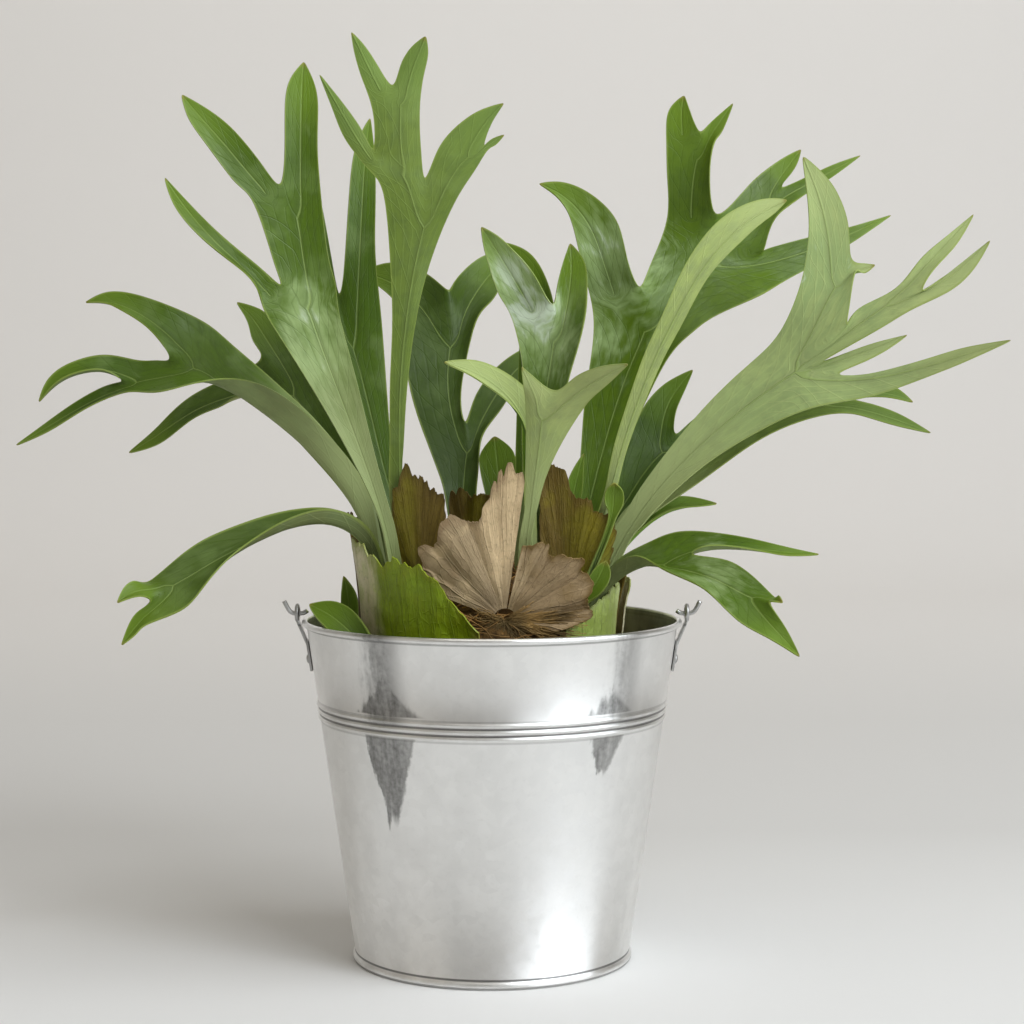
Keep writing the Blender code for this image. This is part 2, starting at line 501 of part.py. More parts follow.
def rivet(name, side, parts):
    face = wall_radius(RIVET_Z) + GAP + EAR_THICK
    outline = [(0, face + 1.5), (RIVET_HEAD * 0.7, face + 1.1), (RIVET_HEAD, face + GAP),
               (RIVET_SHANK, face + GAP), (RIVET_SHANK, wall_radius(RIVET_Z) + GAP), (0, wall_radius(RIVET_Z) + GAP)]
    bm = bmesh.new()
    verts = [bm.verts.new((radius, 0, height)) for radius, height in outline]
    edges = [bm.edges.new(pair) for pair in zip(verts, verts[1:])]
    bmesh.ops.spin(bm, geom=verts + edges, cent=(0, 0, 0), axis=(0, 0, 1), angle=2 * math.pi, steps=12,
                   use_merge=True)
    bmesh.ops.remove_doubles(bm, verts=bm.verts, dist=0.001)
    bmesh.ops.rotate(bm, verts=bm.verts, cent=(0, 0, 0), matrix=Matrix.Rotation(side * math.pi / 2, 3, "Y"))
    bmesh.ops.rotate(bm, verts=bm.verts, cent=(side * face, 0, 0),
                     matrix=Matrix.Rotation(side * wall_angle(), 3, "Y"))
    bmesh.ops.translate(bm, verts=bm.verts, vec=(0, 0, RIVET_Z))
    bmesh.ops.recalc_face_normals(bm, faces=bm.faces)
    smooth(add_object(name, bm, ZINC, parts))


def hook(name, side, parts):
    """The bent wire end held in an ear's eye."""
    curve = bpy.data.curves.new(name, "CURVE")
    curve.dimensions = "3D"
    curve.bevel_depth = HOOK_WIRE * MM
    curve.bevel_resolution = 2
    curve.use_fill_caps = True
    spline = curve.splines.new("POLY")
    points = smooth_path([Vector((side * x, 0, z)) for x, z in HOOK_PATH])
    spline.points.add(len(points) - 1)
    for point, place in zip(spline.points, points):
        point.co = (*(place * MM), 1.0)
    wire = bpy.data.objects.new(name, curve)
    curve.materials.append(new_material(name, ZINC))
    parts.objects.link(wire)


def smooth_path(points, before=None, after=None):
    """The points with one more between each pair, on a smooth curve that may run on past both ends."""
    run = [points[0] if before is None else before, *points, points[-1] if after is None else after]
    path = [points[0]]
    for index in range(1, len(points)):
        path.append((9 * (run[index] + run[index + 1]) - run[index - 1] - run[index + 2]) / 16)
        path.append(points[index])
    return path


def station_rows(lobe, start, face, cup):
    """Left edge, midrib and right edge at each station of a lobe, as vectors."""
    end_face = Vector(lobe.face) if lobe.face else face
    end_cup = cup if lobe.cup is None else lobe.cup
    middles = [start] + [Vector(station[:3]) for station in lobe.rib]
    rows = []
    for index, (_, _, _, half) in enumerate(lobe.rib, 1):
        share = index / len(lobe.rib)
        tangent = (middles[min(index + 1, len(lobe.rib))] - middles[index - 1]).normalized()
        side = tangent.cross(face.lerp(end_face, share)).normalized()
        out = side.cross(tangent) * half
        middle = middles[index]
        row = [middle - side * half, middle - out * (cup + (end_cup - cup) * share), middle + side * half]
        rows.append(folded(row, out, lobe.fold[index - 1]))
    return rows, end_face, end_cup


def folded(row, out, fold):
    """The row with an edge turned up in front of the blade, so that its other side shows."""
    left, rib, right = row
    turned_up, kept = (left, right) if fold < 0 else (right, left)
    share = abs(fold)
    rib = rib.lerp(turned_up, 0.9 * share)
    edge = turned_up.lerp(turned_up.lerp(kept, 0.45) + out * 0.7, share)
    return [edge, rib, kept] if fold < 0 else [kept, rib, edge]


def fork_line(row, lobe):
    """The points across a fork: edge, rib, notch, rib and so on to the other edge."""
    left, rib, right = row
    sink = ((left + right) / 2 - rib) / (right - left).length
    corners = [left] + [Vector(notch) for notch in lobe.notches] + [right]
    line = [corners[0]]
    for start, end in zip(corners, corners[1:]):
        line += [(start + end) / 2 - sink * (end - start).length, end]
    return line


def lead_rib(rows, line):
    """Lets the midrib veer towards the broadest lobe over the stations before a fork."""
    widths = [(line[index + 2] - line[index]).length for index in range(0, len(line) - 2, 2)]
    broadest = widths.index(max(widths))
    lead = min(1.5 * (2 * max(widths) / (max(widths) + sorted(widths)[-2]) - 1), 1.0)
    left, _, right = rows[-1]
    whole = right - left
    share = (line[2 * broadest + 1] - left).dot(whole) / whole.length_squared - 0.5
    for row, weight in zip(rows[-2::-1], (0.7, 0.35, 0.1)):
        row[1] = row[1] + (row[2] - row[0]) * share * lead * weight


def fork_ends(lobe, line, face, cup):
    """What a fork's curves run on to: for the blade before it, and for each lobe what it comes from."""
    firsts = []
    for index, child in enumerate(lobe.lobes):
        start = (line[2 * index] + line[2 * index + 2]) / 2
        firsts.append(station_rows(child, start, face, cup)[0][0])
    middle = firsts[len(firsts) // 2][1] if len(firsts) % 2 else None
    inner = [[None, None, None] for _ in firsts]
    for index in range(len(firsts) - 1):
        inner[index][2] = firsts[index + 1][0]
        inner[index + 1][0] = firsts[index][2]
    return [firsts[0][0], middle, firsts[-1][2]], inner


def extrude_row(bm, row):
    """Extrudes the edges of a row of three vertices and gives the new row, still in place."""
    edges = [bm.edges.get(pair) for pair in zip(row, row[1:])]
    grown = bmesh.ops.extrude_edge_only(bm, edges=edges)["geom"]
    verts = [vert for vert in grown if isinstance(vert, bmesh.types.BMVert)]
    return [min(verts, key=lambda vert: (vert.co - old.co).length) for old in row]


def split_row(bm, row, pieces):
    """Adds vertices to a row's edges until it can carry that many lobes side by side."""
    chain = [row[0]]
    for start, end in zip(row, row[1:]):
        vert = start
        for cut in range(pieces - 1):
            vert = bmesh.utils.edge_split(bm.edges.get((vert, end)), vert, 1 / (pieces - cut))[1]
            chain.append(vert)
        chain.append(end)
    return chain


def grow(bm, lobe, base, face, cup, before=(None, None, None)):
    """Grows a lobe's blade from a row of three vertices, and then the lobes that it forks into."""
    first = [vert.co.copy() for vert in base]
    rows, face, cup = station_rows(lobe, (first[0] + first[2]) / 2, face, cup)
    line, after, inner = None, (None, None, None), ()
    if lobe.lobes:
        line = fork_line(rows[-1], lobe)
        lead_rib(rows, line)
        after, inner = fork_ends(lobe, line, face, cup)
        rows[-1][1] = line[len(line) // 2]
    columns = [smooth_path(list(column), *ends) for column, *ends in zip(zip(first, *rows), before, after)]
    row = base
    for places in list(zip(*columns))[1:]:
        row = extrude_row(bm, row)
        for vert, place in zip(row, places):
            vert.co = place
    if not lobe.lobes:
        bmesh.ops.pointmerge(bm, verts=row, merge_co=row[1].co)
        return
    chain = split_row(bm, row, len(lobe.lobes))
    for vert, place in zip(chain, line):
        vert.co = place
    last = ([first] + rows)[-2]
    inner[0][0] = last[0]
    inner[-1][2] = last[2]
    for index, (child, ends) in enumerate(zip(lobe.lobes, inner)):
        ends[1] = last[1]
        grow(bm, child, chain[2 * index:2 * index + 3], face, cup, ends)


def frond_foot(frond):
    """The middle of the stalk's lower end, sunk in its socket, and the way that the stalk leaves it."""
    x, y = frond.foot
    surface = MIX_TOP if frond.in_mix else mound_height(x, y)
    mouth = Vector((x, y, surface))
    way = (Vector(frond.blade.rib[0][:3]) - mouth).normalized()
    return mouth - way * SOCKET_DEPTH, way


def frond_blade(frond):
    bm = bmesh.new()
    foot, way = frond_foot(frond)
    side = way.cross(Vector(frond.face)).normalized()
    base = [bm.verts.new(foot + side * frond.half * step) for step in (-1, 0, 1)]
    for pair in zip(base, base[1:]):
        bm.edges.new(pair)
    grow(bm, frond.blade, base, Vector(frond.face), frond.cup)
    bmesh.ops.triangulate(bm, faces=bm.faces)
    return bm, foot


def add_frond(frond, parts, sockets):
    bm, foot = frond_blade(frond)
    part = add_object(frond.name, bm, frond.finish, parts)
    group = part.vertex_groups.new(name="stalk")
    for vert in part.data.vertices:
        reach = (vert.co / MM - foot).length
        group.add([vert.index], max(0.0, 1 - reach / STALK_REACH), "REPLACE")
    thicken(part, STALK_THICK)
    part.modifiers["thickness"].vertex_group = "stalk"
    part.modifiers["thickness"].thickness_vertex_group = BLADE_THICK / STALK_THICK
    part.data.shade_smooth()
    add_socket(frond, sockets)


def thicken(part, thickness):
    solid = part.modifiers.new("thickness", "SOLIDIFY")
    solid.thickness = thickness * MM
    solid.offset = 0


def add_socket(frond, sockets):
    """The round cutter that opens the plain hole that a stalk stands in."""
    foot, way = frond_foot(frond)
    length = SOCKET_DEPTH + SOCKET_ABOVE
    radius = frond.half + SOCKET_SLACK
    bm = bmesh.new()
    bmesh.ops.create_cone(bm, cap_ends=True, segments=10, radius1=radius, radius2=radius, depth=length)
    turn = Vector((0, 0, 1)).rotation_difference(way).to_matrix()
    bmesh.ops.rotate(bm, verts=bm.verts, cent=(0, 0, 0), matrix=turn)
    bmesh.ops.translate(bm, verts=bm.verts, vec=foot + way * (length / 2 - GAP))
    add_object(f"socket_{frond.name}", bm, None, sockets)


def value_along(values, share):
    """Reads a list of evenly spaced values at a share of its length."""
    place = share * (len(values) - 1)
    index = min(int(place), len(values) - 2)
    return values[index] + (values[index + 1] - values[index]) * (place - index)


def shield_grid():
    bm = bmesh.new()
    bmesh.ops.create_grid(bm, x_segments=SHIELD_COLUMNS, y_segments=SHIELD_ROWS, size=1.0)
    return bm


def finish_shield(name, bm, finish, parts):
    bmesh.ops.triangulate(bm, faces=bm.faces)
    part = add_object(name, bm, finish, parts)
    thicken(part, SHIELD_THICK)
    part.data.shade_smooth()


def wrap_shield(name, start, end, layer, flare, heights, finish, parts):
    """A sheet standing on the mix, wrapped round the root ball, its top edge ragged and flared."""
    bm = shield_grid()
    low = MIX_TOP + GAP
    for vert in bm.verts:
        across = (vert.co.x + 1) / 2
        up = (vert.co.y + 1) / 2
        angle = math.radians(start + (end - start) * across)
        ripple = 0.5 * math.sin(9 * math.pi * across) * up
        out = layer + flare * up * up + ripple
        vert.co = (MOUND_X + (RING_RADII[0] + out) * math.sin(angle),
                   -(RING_RADII[1] + out) * math.cos(angle),
                   low + (value_along(heights, across) - low) * up)
    finish_shield(name, bm, finish, parts)


def fan_point(hub, depth, lean, bend_left, bend_right, outline, across, up):
    """A point of a fan sheet, from its share across the outline and its share of the reach."""
    hub_x, hub_z = hub
    if depth is None:
        depth = mound_front(hub_x, hub_z) - GAP - SHIELD_THICK / 2
    angle = math.radians(value_along([pair[0] for pair in outline], across))
    reach = FAN_HUB + (value_along([pair[1] for pair in outline], across) - FAN_HUB) * up
    x = reach * math.cos(angle)
    z = reach * math.sin(angle)
    bend = bend_left if x < 0 else bend_right
    pleat = 0.7 * math.sin(0.55 * math.degrees(angle)) * up
    y = depth - lean * reach * reach / 50 + x * x / bend + pleat
    return Vector((hub_x + x, y, hub_z + z))


def fan_shield(name, hub, depth, lean, bend_left, bend_right, outline, finish, parts):
    bm = shield_grid()
    for vert in bm.verts:
        vert.co = fan_point(hub, depth, lean, bend_left, bend_right, outline,
                            (1 + vert.co.x) / 2, (vert.co.y + 1) / 2)
    finish_shield(name, bm, finish, parts)


def main():
    remove_everything()
    parts = new_collection("staghorn_fern")
    cutters = new_collection("cutters")
    sockets = new_collection("sockets")

    pail_wall(parts)
    pail_floor(parts)
    for side_name, side in (("left", -1), ("right", 1)):
        ear_solid(f"ear_{side_name}", side, cutters, parts)
        rivet(f"rivet_{side_name}", side, parts)
        hook(f"hook_{side_name}", side, parts)

    for frond in LEFT_FRONDS + CENTRE_FRONDS + RIGHT_FRONDS + YOUNG_FRONDS:
        add_frond(frond, parts, sockets)
    potting_mix(parts, sockets)
    root_ball(parts, sockets)

    for name, wrap in WRAPS.items():
        wrap_shield(name, *wrap, parts)
    for name, fan in FANS.items():
        fan_shield(name, *fan, parts)

    for cutter in list(cutters.objects) + list(sockets.objects):
        cutter.hide_render = True
        cutter.display_type = "WIRE"


main()
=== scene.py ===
"""Looks for a staghorn fern in a galvanised pail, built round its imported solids."""
import math
import random
from itertools import combinations

import bmesh
import bpy
from bpy.props import FloatProperty, FloatVectorProperty, IntProperty, PointerProperty
from mathutils import Matrix, Vector, noise


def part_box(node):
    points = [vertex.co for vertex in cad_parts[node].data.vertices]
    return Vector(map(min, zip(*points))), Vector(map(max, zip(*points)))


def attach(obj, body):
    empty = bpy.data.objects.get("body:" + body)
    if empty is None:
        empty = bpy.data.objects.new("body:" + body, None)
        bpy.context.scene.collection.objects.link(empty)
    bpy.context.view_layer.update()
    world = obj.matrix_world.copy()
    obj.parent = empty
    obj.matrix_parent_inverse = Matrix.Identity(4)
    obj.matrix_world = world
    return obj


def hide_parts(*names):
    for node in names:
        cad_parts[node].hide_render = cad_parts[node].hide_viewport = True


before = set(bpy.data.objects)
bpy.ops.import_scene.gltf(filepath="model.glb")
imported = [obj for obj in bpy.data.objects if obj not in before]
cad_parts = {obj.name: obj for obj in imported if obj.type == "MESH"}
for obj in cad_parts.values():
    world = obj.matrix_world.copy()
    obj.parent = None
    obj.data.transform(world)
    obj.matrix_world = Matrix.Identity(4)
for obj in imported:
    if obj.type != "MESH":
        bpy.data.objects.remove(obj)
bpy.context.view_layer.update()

bl_info = {
    "name": "Staghorn fern in a pail",
    "version": (1, 0, 0),
    "blender": (4, 5, 0),
    "location": "3D View > Sidebar > Fern",
    "description": "Builds the fern's fronds and shields, its root ball and its pail",
    "category": "Add Mesh",
}

MM = 0.001

# From the frame: the rolled rim's outer radius in metres, and the height of the mix's top in millimetres
RIM_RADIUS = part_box("pail_wall")[1].x
MIX_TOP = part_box("potting_mix")[1].z / MM

# Sizes from here on are in millimetres where a comment doesn't say otherwise.

# The pail's wall: its outer face's radius at the base and at the top, its height, and its sheet
BASE_RADIUS = 72.0
TOP_RADIUS = 97.6
WALL_TOP = 178.0
SHEET = 0.8
WALL_SLOPE = (TOP_RADIUS - BASE_RADIUS) / WALL_TOP
WALL_TILT = math.atan(WALL_SLOPE)

# The rim's roll: how far its middle lies in from the rim's edge and over the wall's top, its radius, and
# how far under the top it ends on the wall
ROLL_INSET = 1.6
ROLL_RISE = 0.2
ROLL_RADIUS = 1.58
ROLL_DROP = 1.9

# The beads: the heights of their middles, half their height, how far they stand out, and steps over one
BEAD_HEIGHTS = (136.0, 132.5, 129.0)
BEAD_HALF = 1.5
BEAD_REACH = 0.95
BEAD_STEPS = 8

# The height where the foot ring starts, and the ring's and the floor's profiles as (radius, height)
WALL_FOOT = 4.4
FOOT_RING = ((73.2, 3.6), (73.68, 3.0), (73.75, 1.6), (73.6, 0.5), (73.2, 0.05), (69.0, 0.05), (69.0, 2.4))
FLOOR_DISC = ((0, 3.7), (70.9, 3.7), (71.1, 3.5), (71.1, 2.9), (70.9, 2.7), (0, 2.7))

# An ear's plate: its thickness, width and height, its middle's height, how far that stands off the wall,
# and how much its edges are rounded
PLATE = (1.4, 12, 16)
PLATE_HEIGHT = 160
PLATE_OUT = 1
PLATE_SOFT = 0.45

# An ear's arm: its width, the height of its foot and how far that stands off the wall, the height of its
# top, and how much its edges are rounded
ARM_WIDTH = 6.5
ARM_FOOT = 165
ARM_OUT = 1.1
ARM_TOP = 178.6
ARM_SOFT = 0.4

# An ear's eye: its ring's middle radius and the radius of its section, how flat that is, and its middle
EYE_RING = (3.6, 1.4)
EYE_FLATNESS = 0.85
EYE_X = 102.6
EYE_HEIGHT = 182.4

# A rivet: its height and how far it stands off the wall, its head's radius, rim and rise, and the profile
# under its head
RIVET_HEIGHT = 158
RIVET_OUT = 1.7
RIVET_HEAD = (2.6, 0.3, 1.3)
RIVET_SHANK = ((2.5, 0.05), (1.3, 0.05), (1.3, -1.4), (0, -1.4))

# A hook: its middle line as (x, z) on the right side, and its wire's radius
HOOK_PATH = ((97.3, 183.6), (99.2, 182.4), (102.6, 182.0), (105.2, 182.4), (107.2, 184.0), (109.6, 188.6))
HOOK_RADIUS = 1.2

# The mix: its radius at the top, its foot as (radius, height), the rings of faces over its top, and how far
# that lies under the node's on average
MIX_RADIUS = 94.2
MIX_FOOT = (71.6, 4.2)
MIX_RINGS = 30
MIX_SINK = 1.1

# Its crumbs: their distance from the pail's middle and their radius, each from least to most, and how far
# under the node's top they lie
CRUMB_REACH = (66, 92.5)
CRUMB_SIZE = (0.8, 2.4)
CRUMB_SINK = 0.9

# The root ball: its middle, and its radii across, deep and high
MOUND_X = -2.0
MOUND_RADII = (63.0, 58.0, 48.0)

# The coarse fibres all over the root ball and the fine ones at the fans' hub: radius, and steps along one
FIBRE_RADIUS = 0.28
FIBRE_STEPS = 8
HAIR_RADIUS = 0.16
HAIR_STEPS = 7

# Stalks: how deep they stand, and how far up they are thicker than the blade
SOCKET_DEPTH = 8.0
STALK_REACH = 46.0

# Blades: how often and how far the midribs are eased, how sharp a tip is, and the margins' waves: their
# length, their height as a share of the half width, and their highest
EASE_ROUNDS = 16
EASE_SHARE = 0.4
TIP_CREASE = 0.3
WAVE_LENGTH = 21
WAVE_SHARE = 0.12
WAVE_HIGHEST = 1.5

# Shields: a fan's bare hub, how far it stands off the mound, and the reach that its lean is worked out
# over; the ring that the wrapped ones stand on, its radii across and deep, and its height over the mix;
# and for both kinds the sheet's fineness across and up, and how deep its top edge's notches are
FAN_HUB = 6.0
FAN_STANDOFF = 0.75
FAN_LEAN_REACH = 50
RING_RADII = (65.0, 60.0)
RING_RISE = 0.3
SHIELD_COLUMNS = 150
SHIELD_ROWS = 40
NOTCH_DEPTH = 0.07

# Angles in degrees past which an edge stays sharp
SHARP_METAL = 35
SHARP_WALL = 50
SHARP_LEAF = 55
SHARP_EARTH = 60

# Places on the pail in metres: the heights where the painted reflections of the fronds start under and
# over the beads, the heights between which the beads' grime sets in and ends, the height that the foot's
# grime reaches, and the radii, taken down the slope to the base, between which the wall's inside takes on
# the green that it mirrors
UNDER_BEADS = 0.127
OVER_BEADS = 0.1395
BEADS_START = (0.1265, 0.1285)
BEADS_END = (0.1395, 0.1375)
GRIMY_FOOT = 0.016
INSIDE = (0.0717, 0.0713)

# Painted reflections of the fronds, drawn as dark runs in the zinc: middle and half width in radians from
# the front, height in metres where the run comes to a point and where it starts, strength, softness, and
# how quickly it narrows
REFLECTION_RUNS = ((-0.61, 0.18, 0.078, UNDER_BEADS, 1.0, 0.02, 0.8), (0.69, 0.14, 0.106, UNDER_BEADS, 0.9, 0.03, 0.8),
        (-0.60, 0.23, 0.162, OVER_BEADS, 0.9, 0.06, 1.8), (0.70, 0.17, 0.158, OVER_BEADS, 0.75, 0.06, 1.8),
        (-0.60, 0.15, 0.4, OVER_BEADS, 0.85, 0.12, 0.5), (0.80, 0.14, 0.4, OVER_BEADS, 0.6, 0.12, 0.5))

# Painted shade: dark lines round the pail where beads, rim and foot ring meet the wall: height in metres,
# and strength
SHADED_GROOVES = ((0.1377, 0.3), (0.1342, 1.0), (0.1307, 1.0), (0.1272, 0.3), (0.1762, 0.6), (0.0048, 1.0),
           (0.0008, 0.8))

# Green that the inside of the zinc mirrors, dark and light
MIRRORED = ((0.24, 0.28, 0.1), (0.46, 0.52, 0.24))

# Colours that only some places of a blade have: a whitish bloom that also serves as painted sheen, a
# painted highlight, and the tips, dry tips and margins
BLOOM_AND_SHEEN = (0.31, 0.43, 0.165)
PAINTED_HIGHLIGHT = (0.62, 0.72, 0.56)
TIP = (0.18, 0.30, 0.02)
DRY_TIP = (0.30, 0.22, 0.04)
MARGIN = (0.30, 0.38, 0.08)

# The stage's sweep in metres: its half width, its front edge, where its bend starts and the bend's radius,
# and its top
SWEEP_HALF = 7.0
SWEEP_FRONT = -9.0
SWEEP_BEND = (2.0, 0.9)
SWEEP_TOP = 5.0

# Area lights: place, what they face, width and height in metres, power in watts, and colour
LIGHTS = {
    "key": ((2.5, -1.15, 1.6), (0.0, 0.0, 0.2), (2.6, 1.9), 59.0, (0.88, 0.94, 1.0)),
    "window": ((1.15, -1.5, 1.75), (0.0, 0.0, 0.25), (1.2, 0.9), 23.0, (0.9, 0.95, 1.0)),
    "left": ((-1.9, -1.3, 1.3), (0.0, 0.0, 0.2), (1.6, 1.6), 2.2, (1.0, 0.93, 0.82)),
    "top": ((0.0, -0.5, 2.1), (0.0, 0.0, 0.2), (1.4, 1.4), 8.0, (1.0, 0.98, 0.95)),
    "backdrop": ((0.0, 1.3, 1.9), (0.0, 2.9, 0.6), (4.0, 0.8), 19.0, (1.0, 0.96, 0.91)),
}

# The camera's place in metres, its tilt from straight down in degrees, its lens and its sensor's width
CAMERA_PLACE = (0.0105, -1.202, 0.307)
CAMERA_TILT = 86.6
CAMERA_LENS = 80.5
CAMERA_SENSOR = 36.0


class Lobe:
    """A stretch of blade: its midrib as (x, y, z, half width) stations in mm, and what it forks into.

    face is where the seen side looks at the far end, cup is how far the midrib lies behind the
    edges there, as a share of the half width, and notches are the points between the lobes. fold is
    how far an edge is turned up at each station, 0 to 1: the right one, or the left where negative.
    """

    def __init__(self, rib, face=None, cup=None, fold=(), notches=(), lobes=()):
        self.rib = rib
        self.face = face
        self.cup = cup
        self.fold = fold or (0.0,) * len(rib)
        self.notches = notches
        self.lobes = lobes


class Frond:
    """A whole frond: where its stalk stands on the root ball or the mix, and the blade that grows from it.

    half is half the stalk's width in mm, and face and cup are as in a lobe, at the foot. tone is how
    yellow its green is, 0 to 1, pale is how far up from its foot it stays pale, in mm, dim is how much
    painted shade darkens it, 0 to 1, and wavy is how much its margins wave.
    """

    def __init__(self, name, foot, half, finish, blade, face=(0, -1, 0.1), cup=0.15, in_mix=False,
                 tone=0.4, pale=45, dim=0.0, wavy=1.0):
        self.name = name
        self.foot = foot
        self.half = half
        self.finish = finish
        self.blade = blade
        self.face = face
        self.cup = cup
        self.in_mix = in_mix
        self.tone = tone
        self.pale = pale
        self.dim = dim
        self.wavy = wavy


# The fronds' finishes
UPPER = "green"
UNDER = "pale"
# painted shade: the next two finishes are darker copies for fronds in the plant's shade
SHADE = "dark"
SHADOWED = "deep"
FELT = "felt"
YOUNG = "fresh"
GLOSS = "glossy"

LEFT_FRONDS = [
    Frond("frond_left_drooping", (-52, -20), 3.5, UPPER, face=(0, -0.2, 1), cup=0.6, tone=0.6, dim=0.6,
          pale=25, blade=Lobe(
        [(-58, -26, 218, 4), (-68, -32, 232, 5), (-83, -38, 237, 7.5), (-99, -46, 235, 9),
         (-118, -54, 228, 11), (-137, -62, 218, 13), (-151, -70, 207, 13.5), (-161, -76, 198, 13)],
        face=(-0.15, -0.8, 0.6), cup=0.2, fold=(-0.5, -0.7, -0.8, -0.7, -0.5, -0.3, -0.1, 0),
        notches=[(-167, -79, 196)], lobes=[
            Lobe([(-172, -83, 188, 4.6), (-176, -85, 182, 3.2), (-181, -87, 175, 0)]),
            Lobe([(-173, -81, 203, 5.6), (-178, -84, 201, 3.8), (-183, -87, 196, 0)])])),
    Frond("frond_left_mid", (-54, -7), 4.5, UPPER, face=(0, -0.05, 1), cup=0.7, tone=0.25, pale=130,
          dim=0.2, blade=Lobe(
        [(-61, -9, 226, 6), (-70, -12, 251, 9), (-98, -15, 279, 15), (-124, -17, 297, 21),
         (-144, -18, 307, 26), (-159, -18, 315, 28)],
        face=(-0.1, -0.72, 0.7), cup=0.3, fold=(-0.6, -0.9, -1, -0.9, -0.55, -0.12),
        notches=[(-166, -13, 316)], lobes=[
            Lobe([(-177, -17, 307, 11.5), (-186, -15, 307, 11)], notches=[(-191, -13, 304.5)], lobes=[
                Lobe([(-200, -10, 299, 5), (-216, -6, 291, 4.4), (-233, -2, 280, 3.4), (-251, 0, 270, 0)]),
                Lobe([(-202, -11, 315, 5), (-221, -12, 310, 4.2), (-231, -10, 302, 2.8),
                      (-236, -9, 293, 0)])]),
            Lobe([(-173, -12, 338, 9), (-190, -9, 346, 6), (-202, -7, 348, 3.6), (-212, -6, 345, 0)])])),
    Frond("frond_left_back", (-50, 10), 4, SHADE, face=(0.1, -0.7, 0.7), cup=0.3, tone=0.6, dim=0.1,
          blade=Lobe(
        [(-60, 14, 222, 5), (-76, 22, 251, 7), (-100, 44, 283, 13), (-121, 66, 307, 19)],
        face=(-0.1, -0.8, 0.5), cup=0.2, notches=[(-128, 74, 316)], lobes=[
            Lobe([(-151, 90, 298, 9), (-173, 105, 289, 7.5), (-193, 114, 272, 5.5), (-212, 120, 262, 0)]),
            Lobe([(-128, 84, 330, 8), (-134, 92, 341, 5.5), (-146, 98, 349, 0)])])),
    # its pale foot reaches far up the trunk, partly as a painted highlight
    Frond("frond_left_tall", (-46, -31), 3.8, UPPER, face=(0.2, -1, 0.2), cup=0.2, tone=0.45, pale=150,
          dim=0.3, blade=Lobe(
        [(-51, -38, 224, 3.4), (-55, -40, 239, 3.4), (-64, -44, 265, 5.6), (-78, -48, 302, 11),
         (-91, -50, 332, 16), (-96, -50, 347, 19.5)],
        face=(0.15, -1, 0.25), cup=0.25, notches=[(-105, -52, 352)], lobes=[
            Lobe([(-118, -54, 356, 6), (-138, -57, 374, 4.8), (-154, -59, 392, 3.6), (-162, -60, 406, 0)],
                 fold=(-0.8, -0.3, 0, 0)),
            Lobe([(-95, -50, 365, 13.5), (-102, -50, 398, 17)], notches=[(-105, -50, 401)], lobes=[
                Lobe([(-121, -52, 408, 8.5), (-135, -53, 426, 7.8), (-147, -54, 438, 5),
                      (-154, -54, 447, 0)]),
                Lobe([(-95, -47, 422, 8), (-95, -44, 444, 8.4), (-95, -42, 456, 5.8),
                      (-94, -40, 465, 0)])])])),
    Frond("frond_left_finger", (-40, -3), 3.6, UPPER, face=(0.2, -1, 0.1), tone=0.3, dim=0.15, blade=Lobe(
        [(-50, 2, 232, 4.5), (-58, 10, 257, 6), (-65, 20, 298, 9), (-73, 28, 336, 14)],
        cup=0.2, notches=[(-82, 32, 348)], lobes=[
            Lobe([(-94, 36, 372, 7), (-99, 40, 402, 6.4), (-101, 44, 428, 0)]),
            Lobe([(-71, 33, 374, 8), (-70, 38, 404, 7.4), (-69, 42, 430, 5.4), (-66, 45, 447, 0)])])),
    Frond("frond_tall_pale", (-40, -20), 3.2, FELT, face=(0.1, -1, 0.1), cup=-0.2, tone=0.5, pale=60,
          dim=0.0, blade=Lobe(
        [(-50, -20, 238, 2.8), (-49, -21, 271, 3.5), (-48, -22, 302, 4.4), (-45, -24, 334, 5.8),
         (-42, -25, 365, 10), (-37, -26, 398, 18)],
        cup=-0.2, notches=[(-34, -26, 406)], lobes=[
            Lobe([(-49, -27, 416, 14)], notches=[(-60, -28, 421)], lobes=[
                Lobe([(-70, -28, 429, 5), (-77, -29, 442, 3.4), (-88, -30, 461, 0)]),
                Lobe([(-48, -28, 437, 11.5), (-49, -29, 450, 13.4)], notches=[(-50, -29, 453)], lobes=[
                    Lobe([(-62, -30, 462, 5), (-67, -31, 473, 3), (-71, -32, 481, 0)]),
                    Lobe([(-40, -29, 463, 6.4), (-36, -30, 472, 4.6), (-33, -31, 479, 0)])])]),
            Lobe([(-18, -26, 417, 11), (-10, -26, 428, 10)], notches=[(-4, -26, 424)], lobes=[
                Lobe([(-3, -26, 439, 4.4), (7, -26, 446, 0)]),
                Lobe([(1, -25, 426, 2), (7, -25, 430, 0)])])])),
]

